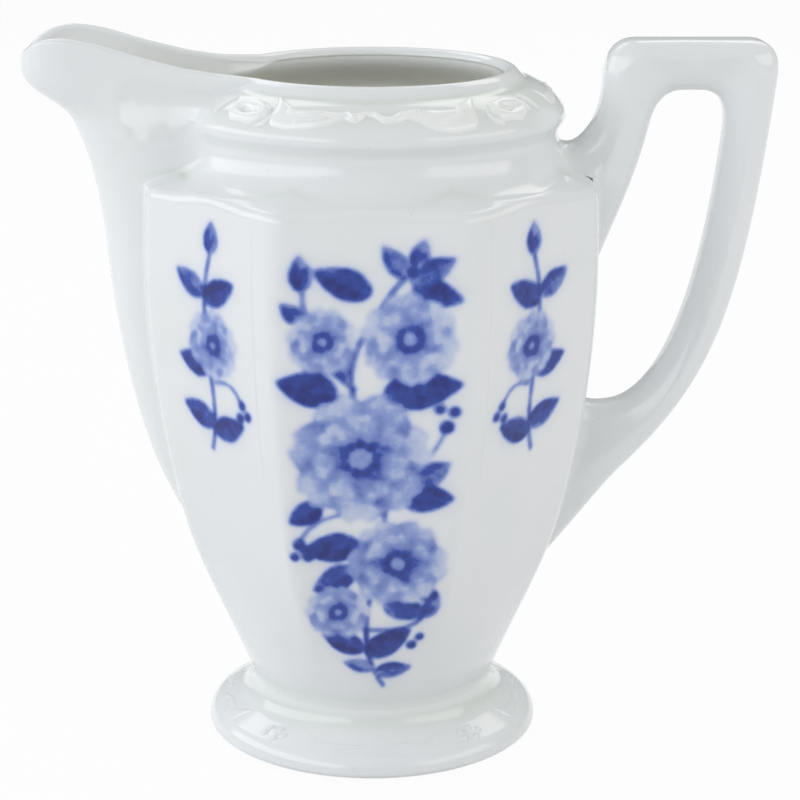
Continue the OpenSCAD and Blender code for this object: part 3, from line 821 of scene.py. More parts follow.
tail_end = float(flat_at(HANDLE_ROOT_Z))
EDGE_STEPS = (60, 36, 14, 36, 90, 50)
top_root = np.array([WAIST_R, COVE_Z - 4])
upright_end = np.array([UPRIGHT, HANDLE_TOP - CORNER_DROP])
reach_end = np.array([HANDLE_REACH - 0.6, HANDLE_TOP - CORNER_DROP])
tail = np.array([HALF_FLATS + 6, HANDLE_ROOT_Z + 20.3])
low_root = np.array([tail_end - 5, HANDLE_ROOT_Z - 5])
top_start = [UPRIGHT + CORNER_RUN, HANDLE_TOP]
top_end = [HANDLE_REACH - CORNER_RUN, HANDLE_TOP]
outer_edge = chain([
    [top_root, top_root + [6, 2.4], upright_end - [0.1, 6.5], upright_end],
    bend_curve(upright_end, [UPRIGHT + 0.3, HANDLE_TOP], top_start),
    straight(top_start, top_end),
    bend_curve(top_end, [HANDLE_REACH + 0.3, HANDLE_TOP], reach_end),
    [reach_end, reach_end - [4.9, 44.7], tail + [16.9, 16.7], tail],
    [tail, tail - [4, 4], low_root + [11.9, 13.1], low_root],
], EDGE_STEPS)
under_top = HANDLE_TOP - HANDLE_BAR
inside_up = UPRIGHT + HANDLE_BAR
inside_reach = HANDLE_REACH - HANDLE_BAR
inner_root = np.array([HALF_FLATS - 1.4, BELLY_Z - 9.5])
inner_upright = np.array([inside_up - 0.8, under_top - INNER_DROP])
inner_end = np.array([inside_reach - 0.6, under_top - INNER_DROP])
tuck = np.array([HALF_FLATS + 8.1, HANDLE_ROOT_Z + HANDLE_BAR + 25.7])
inner_tail = np.array([tail_end + 1, HANDLE_ROOT_Z + HANDLE_BAR + 25.3])
under_start = [inside_up + INNER_RUN, under_top]
under_end = [inside_reach - INNER_RUN, under_top]
inner_edge = chain([
    [inner_root, inner_root + [2.6, 9.0], inner_upright - [2.8, 12.5], inner_upright],
    bend_curve(inner_upright, [inside_up + 0.6, under_top], under_start),
    straight(under_start, under_end),
    bend_curve(under_end, [inside_reach - 0.3, under_top], inner_end),
    [inner_end, inner_end - [2.6, 27], tuck + [7.5, 5.6], tuck],
    [tuck, tuck - [3, 2.3], inner_tail + [10.9, -2.4], inner_tail],
], EDGE_STEPS)

# Section of the bar: rounded edges and a blunt ridge down each broad side, higher up on the top bar
CORNER_STEPS = 8
SIDE_STEPS = 16
RIDGE_RISE = 0.3
RIDGE_BLUNT = 0.09
LIMB_RIDGE = 0.08
TOP_RIDGE = 0.5
bar_middle = (outer_edge + inner_edge) / 2
bar_half = np.linalg.norm(outer_edge - inner_edge, axis=1)[:, None] / 2
bar_out = (outer_edge - inner_edge) / (2 * bar_half)
quarter = np.linspace(0, math.pi / 2, CORNER_STEPS + 1)
across_side = np.linspace(1, -1, SIDE_STEPS + 1)[1:-1]
side_ones = np.ones(SIDE_STEPS - 1)
corner_ones = np.ones(CORNER_STEPS + 1)
half_turn = np.concatenate([quarter, side_ones * math.pi / 2, quarter + math.pi / 2])
half_depth = np.concatenate([corner_ones, across_side, -corner_ones])
half_width = np.concatenate([corner_ones, side_ones, corner_ones])
section_turn = np.concatenate([half_turn, half_turn + math.pi])
section_depth = np.concatenate([half_depth, -half_depth])
section_width = np.concatenate([half_width, -half_width])
depth = section_depth * (bar_half - HANDLE_ROUND) + HANDLE_ROUND * np.cos(section_turn)
width = section_width * (HANDLE_W / 2 - HANDLE_ROUND) + HANDLE_ROUND * np.sin(section_turn) + 0 * bar_half
ring = np.arange(len(bar_middle))[:, None]
top_bar_from, top_bar_to = np.cumsum(EDGE_STEPS)[[0, 3]]
on_top = ease((ring - top_bar_from) / EDGE_STEPS[1]) * ease((top_bar_to - ring) / EDGE_STEPS[3])
off_ridge = depth / bar_half - LIMB_RIDGE - (TOP_RIDGE - LIMB_RIDGE) * on_top
width = width * (1 - RIDGE_RISE * (np.hypot(off_ridge, RIDGE_BLUNT) - RIDGE_BLUNT))
bar = np.stack([bar_middle[:, :1] + bar_out[:, :1] * depth, width,
                bar_middle[:, 1:] + bar_out[:, 1:] * depth], -1)


def jug_radius(turn, z):
    """Outer radius of the jug's wall under the handle, from the panel up into the cove."""
    cove = COVE_X - np.sqrt(np.maximum(COVE_R**2 - (np.minimum(z, COVE_Z) - COVE_Z) ** 2, 0))
    to_cove = ease((z - (SHOULDER_Z - TO_COVE_BELOW)) / TO_COVE)
    return panel_radius(turn, np.minimum(z, SHOULDER_Z)) * (1 - to_cove) + cove * to_cove


def on_jug(points, sink):
    """The nearest points on the jug's wall, straight in towards the axis."""
    turn = np.arctan2(-points[..., 1], -points[..., 0])
    return in_place(turn, jug_radius(turn, points[..., 2]) - sink, points[..., 2])


def stand_off(points):
    turn = np.arctan2(-points[..., 1], -points[..., 0])
    return np.hypot(points[..., 0], points[..., 1]) - jug_radius(turn, points[..., 2])


def root(strands):
    """Where each strand of the bar leaves the wall, and where its fillet starts on bar and wall."""
    off = stand_off(strands)
    count = strands.shape[1]
    middle = strands.shape[0] // 2
    leave = np.array([np.max(np.nonzero(off[:middle, j] < 0)[0]) for j in range(count)])
    pick = np.arange(count)
    part = off[leave, pick] / (off[leave, pick] - off[leave + 1, pick])
    contact = strands[leave, pick] + (strands[leave + 1, pick] - strands[leave, pick]) * part[:, None]
    steps = np.linalg.norm(np.diff(strands, axis=0), axis=2)
    length = np.concatenate([np.zeros((1, count)), np.cumsum(steps, axis=0)])
    at_contact = length[leave, pick] + part * steps[leave, pick]
    probe = 0.05 * np.eye(3)
    normal = np.stack([stand_off(contact + way) - stand_off(contact - way) for way in probe], -1)
    normal /= np.linalg.norm(normal, axis=1, keepdims=True)
    along = np.roll(contact, -1, axis=0) - np.roll(contact, 1, axis=0)
    away = np.cross(along, normal)
    away /= np.linalg.norm(away, axis=1, keepdims=True)
    outward = np.sum(away * (contact - contact.mean(axis=0)), axis=1, keepdims=True)
    away = away * np.sign(np.sum(outward))
    for _ in range(SKIRT_SMOOTHING):
        away = (np.roll(away, 1, axis=0) + 2 * away + np.roll(away, -1, axis=0)) / 4
    away /= np.linalg.norm(away, axis=1, keepdims=True)
    return length, at_contact, contact, on_jug(contact + away * ROOT_FILLET, ROOT_SINK)


def strand_points(strands, length, wanted):
    """Points at wanted lengths along each strand, one row of lengths for each row of points."""
    out = np.zeros((wanted.shape[0], strands.shape[1], 3))
    for j in range(strands.shape[1]):
        for k in range(3):
            out[:, j, k] = np.interp(wanted[:, j], length[:, j], strands[:, j, k])
    return out


ROOT_RINGS = 70
RUN_RINGS = 30
FILLET_RINGS = 10


def rooted(strands):
    """One end of the handle, from the cap buried in the wall over the fillet to the plain bar, and the
    middle of that cap."""
    length, at_contact, contact, skirt = root(strands)
    start = at_contact + ROOT_FILLET
    run_share = np.arange(RUN_RINGS)[:, None] / RUN_RINGS
    run = strand_points(strands, length, start + (length[ROOT_RINGS] - start) * run_share)
    fillet = bend(skirt, contact, run[0], np.arange(FILLET_RINGS)[:, None, None] / FILLET_RINGS)
    middle = skirt.mean(axis=0)
    cap_share = np.arange(CAP_RINGS, 0, -1)[:, None, None] / (CAP_RINGS + 1)
    cap = on_jug(skirt + (middle - skirt) * cap_share, CAP_SINK)
    return np.concatenate([cap, fillet, run]), on_jug(middle, CAP_SINK)


top_rows, top_middle = rooted(bar)
low_rows, low_middle = rooted(bar[::-1])
handle_rows = np.concatenate([top_rows, bar[ROOT_RINGS : len(bar) - ROOT_RINGS], low_rows[::-1]])
rows, cols = handle_rows.shape[:2]
index = np.arange(rows * cols).reshape(rows, cols)
right = np.roll(index, -1, axis=1)
handle_faces = np.stack([index[:-1], index[1:], right[1:], right[:-1]], -1).reshape(-1, 4).tolist()
for j in range(cols):
    handle_faces.append([index[0, j], right[0, j], rows * cols])
    handle_faces.append([right[-1, j], index[-1, j], rows * cols + 1])
handle_points = np.concatenate([handle_rows.reshape(-1, 3), [top_middle, low_middle]])
handle_mesh = new_mesh("handle", handle_points, handle_faces, HANDLE_SHARP)
# Pooled glaze and painted shade round each root, fading along the bar.
root_pool_and_shade = np.zeros((rows, cols))
pooled_and_shaded = np.linspace(HANDLE_POOL_AND_SHADE, 0, CAP_RINGS + POOL_AND_SHADE_RINGS)[:, None]
root_pool_and_shade[: len(pooled_and_shaded)] = pooled_and_shaded
root_pool_and_shade[-len(pooled_and_shaded) :] = pooled_and_shaded[::-1]
set_values(handle_mesh, "glaze_pool_and_shade", root_pool_and_shade)
add_piece("handle", handle_mesh, porcelain, ["handle"])

# Collar rosettes: four rings of petals, each with two straps beside it, pressed from porcelain in small
# moulds and stuck to the collar's sloping band with slip. The glaze has softened them.
RELIEF_FINENESS = 0.17
# Lighter than the body's glaze: thinner glaze over the raised forms, and painted sheen for the light they
# catch.
RELIEF_WHITE_AND_SHEEN = (0.87, 0.885, 0.89, 1.0)
LUMP_SPREAD = 1.16
LUMP_STEP = 0.35
LUMP_OVERLAP = 0.8
BAND_PROBE = 0.02

soft_relief = bpy.data.node_groups.new("soft_relief", "GeometryNodeTree")
relief_socket = {}
for name, kind in (("Lumps", "Geometry"), ("Fineness", "Float"), ("Softening", "Int"),
                   ("Glaze", "Material")):
    socket = soft_relief.interface.new_socket(name, in_out="INPUT", socket_type="NodeSocket" + kind)
    relief_socket[name] = socket.identifier
soft_relief.interface.new_socket("Relief", in_out="OUTPUT", socket_type="NodeSocketGeometry")
given = add_node(soft_relief, "NodeGroupInput").outputs
facing, along, size = (
    add_node(soft_relief, "GeometryNodeInputNamedAttribute", {"Name": name},
             data_type="FLOAT_VECTOR").outputs["Attribute"]
    for name in ("facing", "along", "size")
)
lie = add_node(soft_relief, "FunctionNodeAxesToRotation", {
    "Primary Axis": facing, "Secondary Axis": along,
}, primary_axis="Z", secondary_axis="X")
place = add_node(soft_relief, "GeometryNodeInputPosition")
soften = add_node(soft_relief, "GeometryNodeBlurAttribute", {
    "Value": place.outputs["Position"], "Iterations": given["Softening"],
}, data_type="FLOAT_VECTOR")
ball = add_node(soft_relief, "GeometryNodeMeshIcoSphere", {"Radius": 1.0, "Subdivisions": 3})
shape = ball.outputs["Mesh"]
for kind, socket, others, settings in (
    ("InstanceOnPoints", "Instance",
     {"Points": given["Lumps"], "Rotation": lie.outputs["Rotation"], "Scale": size}, {}),
    ("RealizeInstances", "Geometry", {}, {}),
    ("MeshToVolume", "Mesh", {"Voxel Size": given["Fineness"]}, {"resolution_mode": "VOXEL_SIZE"}),
    ("VolumeToMesh", "Volume", {}, {"resolution_mode": "GRID"}),
    ("SetPosition", "Geometry", {"Position": soften.outputs["Value"]}, {}),
    ("Transform", "Geometry", {"Scale": (MM, MM, MM)}, {}),
    ("SetShadeSmooth", "Geometry", {}, {}),
    ("RealizeInstances", "Geometry", {}, {}),
    ("SetMaterial", "Geometry", {"Material": given["Glaze"]}, {}),
):
    shape = add_node(soft_relief, "GeometryNode" + kind, {socket: shape, **others}, **settings).outputs[0]
add_node(soft_relief, "NodeGroupOutput", {"Relief": shape})


def add_relief(name, lumps, coating, softening):
    """A piece of relief: one closed, softened mesh round all its lumps. A lump is a place, the way it
    faces, the way it points along the surface, and its length, width and height."""
    places, facing, along, size = (np.array(column) for column in zip(*lumps))
    points = bpy.data.meshes.new(name + "_points")
    points.from_pydata(places.tolist(), [], [])
    for attribute, values in (("facing", facing), ("along", along), ("size", size)):
        stored = points.attributes.new(attribute, "FLOAT_VECTOR", "POINT")
        stored.data.foreach_set("vector", values.astype(np.float32).reshape(-1))
    carrier = bpy.data.objects.new(name + "_points", points)
    bpy.context.scene.collection.objects.link(carrier)
    press = carrier.modifiers.new("press", "NODES")
    press.node_group = soft_relief
    press[relief_socket["Fineness"]] = RELIEF_FINENESS
    press[relief_socket["Softening"]] = softening
    press[relief_socket["Glaze"]] = coating
    ready = carrier.evaluated_get(bpy.context.evaluated_depsgraph_get())
    mesh = bpy.data.meshes.new_from_object(ready)
    carrier.modifiers.remove(press)
    bpy.data.objects.remove(carrier)
    bpy.data.meshes.remove(points)
    mesh.name = name
    add_piece(name, mesh, coating, [name])


def lay(profile, turn, share, angle, size, lift):
    """A lump laid on a turned band, pointing at an angle from the way round the jug."""
    share = min(max(share, 0.0), 1.0)
    r, z = along_profile(profile, share)
    (r0, r1), (z0, z1) = along_profile(profile, np.array([share - BAND_PROBE, share + BAND_PROBE]))
    up_r, up_z = np.array([r1 - r0, z1 - z0]) / math.hypot(r1 - r0, z1 - z0)
    round_way = in_place(turn + math.pi / 2, 1.0, 0.0)
    up_way = in_place(turn, up_r, up_z)
    pointing = round_way * math.cos(angle) + up_way * math.sin(angle)
    return in_place(turn, r + lift * up_z, z - lift * up_r), in_place(turn, up_z, -up_r), pointing, size


def lump_line(profile, turn, share, places, scale, height):
    """Lumps along a line that touch one another. A place is how far it lies round the jug and up the
    band from a middle point, with its half width. Lumps are sunk, so their edges meet the band softly."""
    r = float(along_profile(profile, share)[0])
    length = float(np.linalg.norm(np.diff(profile, axis=0), axis=1).sum())
    places = np.array(places) * scale
    steps = np.concatenate([[0], np.cumsum(np.linalg.norm(np.diff(places[:, :2], axis=0), axis=1))])
    at = np.linspace(0, steps[-1], 1 + int(steps[-1] / LUMP_STEP))
    places = np.stack([np.interp(at, steps, places[:, k]) for k in range(3)], 1)
    run = np.gradient(places[:, :2], axis=0)
    lumps = []
    for (way_round, way_up, half), (run_round, run_up) in zip(places, run):
        reach = max(half, LUMP_OVERLAP * math.hypot(run_round, run_up))
        size = (LUMP_SPREAD * reach, LUMP_SPREAD * half, 2 * height)
        angle = math.atan2(run_up, run_round)
        lumps.append(lay(profile, turn + way_round / r, share + way_up / length, angle, size, -height))
    return lumps


# One rosette and the straps beside it, in millimetres from its middle
ROSETTE_WIDE = 3.5
ROSETTE_TALL = 1.6
ROSETTE_STEPS = 24
PETALS = 5
PETAL_HALF = 1.3
STRAPS = (
    [(-5.7, -0.3, 0.35), (-5.2, -1.4, 0.55), (-4.4, -2.3, 0.6), (-3.2, -3.1, 0.4)],
    [(5.8, 2.6, 0.4), (6.6, 1.3, 0.65), (7.1, 0.0, 0.7), (7.5, -1.4, 0.45)],
)
COLLAR_RELIEF = 0.65
ROSETTE_RISE = 1.25 * COLLAR_RELIEF
STRAP_RISE = 0.85 * COLLAR_RELIEF
COLLAR_SHARE = 0.48
SPOUT_SIDE_TURN = math.radians(41)
HANDLE_SIDE_TURN = math.radians(47)
SIDES = (math.pi / 2, -math.pi / 2)
relief_glaze = glazed_material("glazed_relief", RELIEF_WHITE_AND_SHEEN)[0]
petals = []
for k in range(ROSETTE_STEPS + 1):
    angle = 2 * math.pi * k / ROSETTE_STEPS
    swell = 0.9 + 0.18 * math.cos(PETALS * angle - 0.6)
    petals.append((ROSETTE_WIDE * math.cos(angle), ROSETTE_TALL * math.sin(angle), PETAL_HALF * swell))
collar_rosettes = []
for middle in SIDES:
    to_handle = math.copysign(1, middle)
    for side, away in ((-to_handle, SPOUT_SIDE_TURN), (to_handle, HANDLE_SIDE_TURN)):
        turn = middle + side * away
        collar_rosettes += lump_line(SLOPE_BAND, turn, COLLAR_SHARE, petals, 1.0, ROSETTE_RISE)
        for strap in STRAPS:
            facing_strap = [(side * way_round, way_up, half) for way_round, way_up, half in strap]
            collar_rosettes += lump_line(SLOPE_BAND, turn, COLLAR_SHARE, facing_strap, 1.0, STRAP_RISE)
add_relief("collar_rosettes", collar_rosettes, relief_glaze, 3)

# Collar swags: three garlands between the rosettes, pressed from porcelain and stuck on with slip. Each
# is a thin waved ribbon that swells into rippled leaves, with a pointed ear standing up at each end.
GARLAND = (
    [
        (-16.2, -0.6, 2.1), (-14.3, -0.9, 2.15), (-12.1, -0.75, 2.0), (-10.2, -0.6, 1.9),
        (-8.0, -0.3, 1.6), (-6.6, -0.1, 1.3), (-4.7, 0.3, 0.9), (-2.8, -0.05, 1.2), (-1.9, 0.5, 0.75),
        (-1.1, 0.9, 0.5), (0.3, 0.75, 0.7), (1.7, -0.35, 0.75), (2.3, -0.6, 0.9), (3.3, -0.65, 0.75),
        (4.1, -0.35, 0.95), (5.8, 0.6, 1.0), (7.7, 0.35, 1.35), (8.8, 0.0, 1.6), (11.0, -0.8, 2.1),
        (12.1, -1.05, 2.2), (14.6, -1.2, 2.3), (16.6, -0.9, 2.3),
    ],
    [(-16.3, 0.6, 1.7), (-17.2, 2.2, 1.1), (-18.2, 3.4, 0.7), (-19.0, 4.2, 0.4)],
    [(17.0, 0.4, 1.9), (18.2, 1.9, 1.3), (19.4, 3.1, 0.8), (20.4, 3.9, 0.4)],
)
RIPPLES = (
    [(-14.5, 0.1, 0.4), (-11.5, -0.1, 0.5), (-8.5, 0.4, 0.35)],
    [(-13.0, -1.7, 0.35), (-10.0, -1.3, 0.45), (-7.4, -0.7, 0.3)],
    [(-4.2, 0.7, 0.3), (-3.2, -0.4, 0.4), (-2.2, 0.3, 0.3)],
    [(5.0, 0.5, 0.3), (7.6, 0.8, 0.45), (10.4, -0.1, 0.35)],
    [(11.6, -1.7, 0.35), (13.8, -1.2, 0.5), (16.4, 0.2, 0.4)],
)
RIPPLE_RISE = 1.9
BEHIND_SCALE = 0.6
BEHIND_RELIEF = 0.2


def garland_lumps(profile, turn, share, scale, height):
    """A garland and its two ears, with ripples along the leaves."""
    lumps = []
    for lines, rise in ((GARLAND, 1.0), (RIPPLES, RIPPLE_RISE)):
        for line in lines:
            lumps += lump_line(profile, turn, share, line, scale, rise * height)
    return lumps


collar_swags = []
for middle in SIDES:
    collar_swags += garland_lumps(SLOPE_BAND, middle, COLLAR_SHARE, 1.0, COLLAR_RELIEF)
collar_swags += garland_lumps(SLOPE_BAND, math.pi, COLLAR_SHARE, BEHIND_SCALE, BEHIND_RELIEF)
add_relief("collar_swags", collar_swags, relief_glaze, 3)

# Foot rosettes: four small flowers of five petals, pressed from porcelain and stuck with slip to the
# sloping band of the foot, below the rosettes of the collar.
FOOT_BAND = np.array([band_low, band_high])
FOOT_MIDDLE = 0.5
FOOT_PETAL_RING = np.array([2.2, 1.32])
FOOT_PETAL = 0.75
FOOT_PETAL_RUN = 0.15
FOOT_ROSETTE = 0.4
FOOT_ROSETTE_TURN = math.radians(41)
foot_glaze = glazed_material("glazed_foot_relief", GLAZE_WHITE)[0]
foot_rosettes = []
for turn in (middle + side * FOOT_ROSETTE_TURN for middle in SIDES for side in (-1, 1)):
    for angle in np.arange(PETALS) * 2 * math.pi / PETALS:
        petal = FOOT_PETAL_RING * [math.cos(angle), math.sin(angle)]
        ends = [(*petal - FOOT_PETAL_RUN, FOOT_PETAL), (*petal + FOOT_PETAL_RUN, FOOT_PETAL)]
        foot_rosettes += lump_line(FOOT_BAND, turn, FOOT_MIDDLE, ends, 1.0, FOOT_ROSETTE)
add_relief("foot_rosettes", foot_rosettes, foot_glaze, 3)

# Foot swags: four garlands between those flowers, pressed from porcelain and stuck on with slip. They lie
# so low under the glaze that little more than their glints is seen.
FOOT_SWAG_SCALE = 0.72
FOOT_SWAG = 0.1
FOOT_SWAG_SOFTENING = 16
foot_swags = []
for middle in (0.0, math.pi, *SIDES):
    foot_swags += garland_lumps(FOOT_BAND, middle, FOOT_MIDDLE, FOOT_SWAG_SCALE, FOOT_SWAG)
add_relief("foot_swags", foot_swags, foot_glaze, FOOT_SWAG_SOFTENING)

# Print: a blue transfer fired into the glaze on the front panel and the two beside it, and again on the
# far side. It is a thin film that follows the panels; the cobalt has bled a little into the glaze.
FILM_OVER = 0.03
FILM_UNDER = 0.3
INK_LIGHT = (0.31, 0.40, 0.72, 1.0)
INK_MIDDLE = (0.02, 0.065, 0.40, 1.0)
INK_DARK = (0.004, 0.014, 0.18, 1.0)
INK_EDGE = 0.35
INK_SOFT = 0.36
INK_BLEED = 1.5
FILM_STEP = 0.36
BRUSH_SCALE = 420.0


class Sheet:
    """A sheet of transfer paper that motifs are painted on. Places are in millimetres, from the middle
    of the panel to the right and up from the base of the jug."""

    def __init__(self, right, up):
        self.right = right
        self.up = up
        self.ink = np.zeros(right.shape)

    def lay(self, cover, strength):
        """Paints over what is there. Cover is how much is hidden, strength how dark the paint is."""
        cover = np.clip(cover, 0, 1)
        self.ink = self.ink * (1 - cover) + cover * np.clip(strength, 0, 1)

    def toward(self, right, up, angle):
        """Places measured from a point, along an angle and across it."""
        x, y = self.right - right, self.up - up
        return x * math.cos(angle) + y * math.sin(angle), y * math.cos(angle) - x * math.sin(angle)

    def stem(self, points, width, strength):
        """A stroke along a cubic curve."""
        path = bezier(points, 60)
        nearest = np.full(self.right.shape, 1e9)
        for x, y in path:
            nearest = np.minimum(nearest, (self.right - x) ** 2 + (self.up - y) ** 2)
        self.lay(1 - ease((np.sqrt(nearest) - width / 2) / INK_EDGE + 0.5), strength)

    def leaf(self, right, up, angle, length, width, strength):
        """A pointed leaf with a pale midrib, darker along one half."""
        a, b = self.toward(right, up, math.radians(angle))
        part = np.clip(a / length, 0, 1)
        half = width / 2 * np.clip(np.sin(math.pi * part**0.75), 0, 1) ** 0.85 + 1e-6
        across = b / half
        cover = (1 - ease((np.abs(b) - half) / INK_EDGE + 0.5)) * (a > 0) * (a < length)
        rib = np.exp(-((b / 0.28) ** 2)) * (1 - part)
        veins = 0.5 + 0.5 * np.cos(2 * math.pi * (a - 0.8 * np.abs(b)) / 1.9)
        tone = strength * (0.62 + 0.38 * ease(across * 0.6 + 0.5)) + 0.10 * veins * strength
        tone = tone + 0.22 * np.clip(np.abs(across), 0, 1) ** 4
        self.lay(cover, tone - 0.38 * rib)

    def petal(self, right, up, angle, length, width, strength):
        """A broad petal with a notched end, dark at its base and paler towards its edge."""
        a, b = self.toward(right, up, angle)
        part = np.clip(a / length, 0, 1)
        notch = 0.1 * length * np.exp(-((b / (0.16 * width)) ** 2))
        half = width / 2 * np.sqrt(np.clip(np.sin(math.pi * part**1.25), 0, 1)) + 1e-6
        cover = (1 - ease((np.abs(b) - half) / INK_EDGE + 0.5)) * (a > 0) * (a < length - notch + 0.2)
        streaks = 0.5 + 0.5 * np.cos(13 * np.arctan2(b, np.maximum(a, 0.1)))
        shade = 0.10 + 0.72 * (1 - part) ** 1.2 + 0.28 * streaks * (1 - part) * part
        rim = np.clip(np.abs(b) / half, 0, 1) ** 6 + 0.8 * part**10
        self.lay(cover, strength * (shade + 0.22 * rim))

    def blossom(self, right, up, radius, petals, turn, strength):
        """An open flower: a ring of petals behind, a smaller ring in front, and a dotted eye."""
        for ring, share, tone in ((0, 1.0, 1.0), (1, 0.68, 0.9)):
            for k in range(petals):
                angle = math.radians(turn) + 2 * math.pi * (k + 0.5 * ring) / petals
                depth = strength * tone * (0.75 + 0.5 * (0.618 * (k + 3 * ring) % 1))
                self.petal(right, up, angle, radius * share, radius * share * 5.6 / petals, depth)
        away = np.hypot(self.right - right, self.up - up)
        eye = 0.17 * radius
        self.lay(1 - ease((away - eye) / 0.5 + 0.5), 0.25)
        for k in range(9):
            angle = 2 * math.pi * k / 9 + 0.2
            x, y = right + 1.25 * eye * math.cos(angle), up + 1.25 * eye * math.sin(angle)
            self.berry(x, y, 0.32 + 0.03 * radius, 0.95)

    def berry(self, right, up, radius, strength):
        """A round berry or dot with a pale glint."""
        away = np.hypot(self.right - right, self.up - up)
        glint = np.hypot(self.right - right + 0.35 * radius, self.up - up - 0.35 * radius)
        tone = strength - 0.5 * np.exp(-((glint / (0.4 * radius)) ** 2))
        self.lay(1 - ease((away - radius) / INK_EDGE + 0.5), tone)

    def bud(self, right, up, angle, length, strength):
        """A closed bud in two sepals."""
        self.leaf(right, up, angle, length, 0.62 * length, strength * 0.55)
        self.leaf(right, up, angle + 14, 0.72 * length, 0.34 * length, strength)
        self.leaf(right, up, angle - 16, 0.66 * length, 0.30 * length, strength * 0.9)

    def bled(self, step_right, step_up):
        """The ink once it has run in the firing: softened, with a faint halo."""
        soft = blurred(self.ink, INK_SOFT / step_right, INK_SOFT / step_up)
        halo = blurred(self.ink, INK_BLEED / step_right, INK_BLEED / step_up)
        return np.clip(0.95 * soft + 0.22 * halo, 0, 1)


def blurred(values, spread_right, spread_up):
    """A soft average over a spread, in grid steps, along both ways of a sheet."""
    for axis, spread in ((1, spread_right), (0, spread_up)):
        reach = max(1, int(3 * spread))
        weights = np.exp(-0.5 * (np.arange(-reach, reach + 1) / spread) ** 2)
        weights /= weights.sum()
        padding = [(0, 0), (0, 0)]
        padding[axis] = (reach, reach)
        padded = np.pad(values, padding)
        size = values.shape[axis]
        values = sum(weight * np.take(padded, np.arange(k, k + size), axis=axis)
                     for k, weight in enumerate(weights))
    return values


# The tall spray on a front panel and the small sprig beside it. Stems have four points, a width and a
# strength. Leaves, blossoms, buds and berries have their places first, then what their painters ask for.
SPRAY = {
    "stems": (
        ([(2, 17), (-8, 34), (11, 54), (-3, 76)], 0.9, 0.8),
        ([(-3, 76), (-6, 84), (2, 94), (7.5, 100)], 0.8, 0.75),
        ([(-2, 30), (4, 29), (8, 30), (9.5, 33)], 0.7, 0.7),
        ([(-3, 78), (-9, 82), (-12, 90), (-12, 96)], 0.7, 0.7),
        ([(6, 62), (10, 64), (12, 68), (13, 71)], 0.6, 0.6),
        ([(-4, 54), (-9, 54), (-12, 51), (-13, 48)], 0.6, 0.6),
    ),
    "leaves": (
        (0.5, 20, 8, 7, 3.4, 0.75), (0.5, 21, 168, 6, 3, 0.6), (-1.5, 25, 152, 9, 4.6, 0.95),
        (-1.2, 24, 34, 10, 5, 1.0), (2, 35, -12, 9, 4.6, 0.8), (8, 39, -38, 5.5, 3.4, 0.95),
        (-2, 48, 188, 11, 5.6, 1.0), (-3, 43, 212, 9, 5, 0.8), (-9, 56, 214, 7, 4.4, 0.95),
        (5, 57.5, -2, 9.6, 5.6, 1.0), (7.5, 60, 34, 7.6, 4.4, 0.7), (-6, 77, 168, 11, 6.2, 1.0),
        (-4, 80, 118, 9, 5, 0.75), (2, 77, 8, 14, 7, 1.0), (-12, 90, 138, 5, 3, 0.8),
        (0, 95, 158, 11, 5.4, 0.95), (6, 98, 128, 7, 3.6, 0.65), (7, 96, -14, 9, 4.8, 1.0),
        (6.5, 97, 28, 9, 4.4, 0.7),
    ),
    "blossoms": (
        (6.5, 87, 8.8, 6, 40, 0.8), (-8.5, 86.5, 6.2, 5, 10, 0.85), (4.5, 44, 9.4, 6, 0, 0.95),
        (-2, 65, 13, 7, 12, 0.9), (-6.2, 33.5, 6, 5, 20, 0.85),
    ),
    "buds": ((-12, 95.5, 94, 6.5, 0.95), (9.4, 32.5, 58, 5.2, 0.9), (7.5, 99.4, 72, 5.6, 0.85)),
    "berries": (
        (13, 71, 1.2), (14.3, 73.8, 1.0), (11.8, 74.4, 0.9), (-13, 48, 1.1),
        (-11.4, 45.6, 1.0), (-13.8, 45.4, 0.8), (7.2, 26.2, 0.9), (8.6, 28, 0.8),
    ),
}
SPRIG = {
    "stems": (
        ([(-2, 63), (3, 74), (-4, 86), (1, 100)], 0.8, 0.75),
        ([(0.8, 76), (4, 77), (6, 76), (7, 73.5)], 0.6, 0.65),
    ),
    "leaves": (
        (-0.4, 68, 158, 8.5, 4.6, 0.85), (-0.6, 66.5, 18, 8.5, 4.6, 1.0), (-0.6, 78, 164, 8, 4.4, 1.0),
        (-1, 91, 26, 9, 4.6, 1.0), (-1, 92, 152, 8, 4.2, 0.75),
    ),
    "blossoms": ((0.8, 83, 6.6, 6, 18, 0.9),),
    "buds": ((1, 99.5, 88, 6, 0.9),),
    "berries": ((7.4, 73, 0.85), (8.6, 71.2, 0.85), (6.6, 70.6, 0.85)),
}


def paint(sheet, design, side):
    """Paints a design. On side -1 its stems, its leaves and all its places are mirrored."""
    for points, width, strength in design["stems"]:
        sheet.stem([(side * right, up) for right, up in points], width, strength)
    for right, up, angle, *rest in design["leaves"]:
        sheet.leaf(side * right, up, angle if side > 0 else 180 - angle, *rest)
    for right, *rest in design["blossoms"]:
        sheet.blossom(side * right, *rest)
    for right, *rest in design["buds"]:
        sheet.bud(side * right, *rest)
    for right, up, radius in design["berries"]:
        sheet.berry(side * right, up, radius, 1.0)


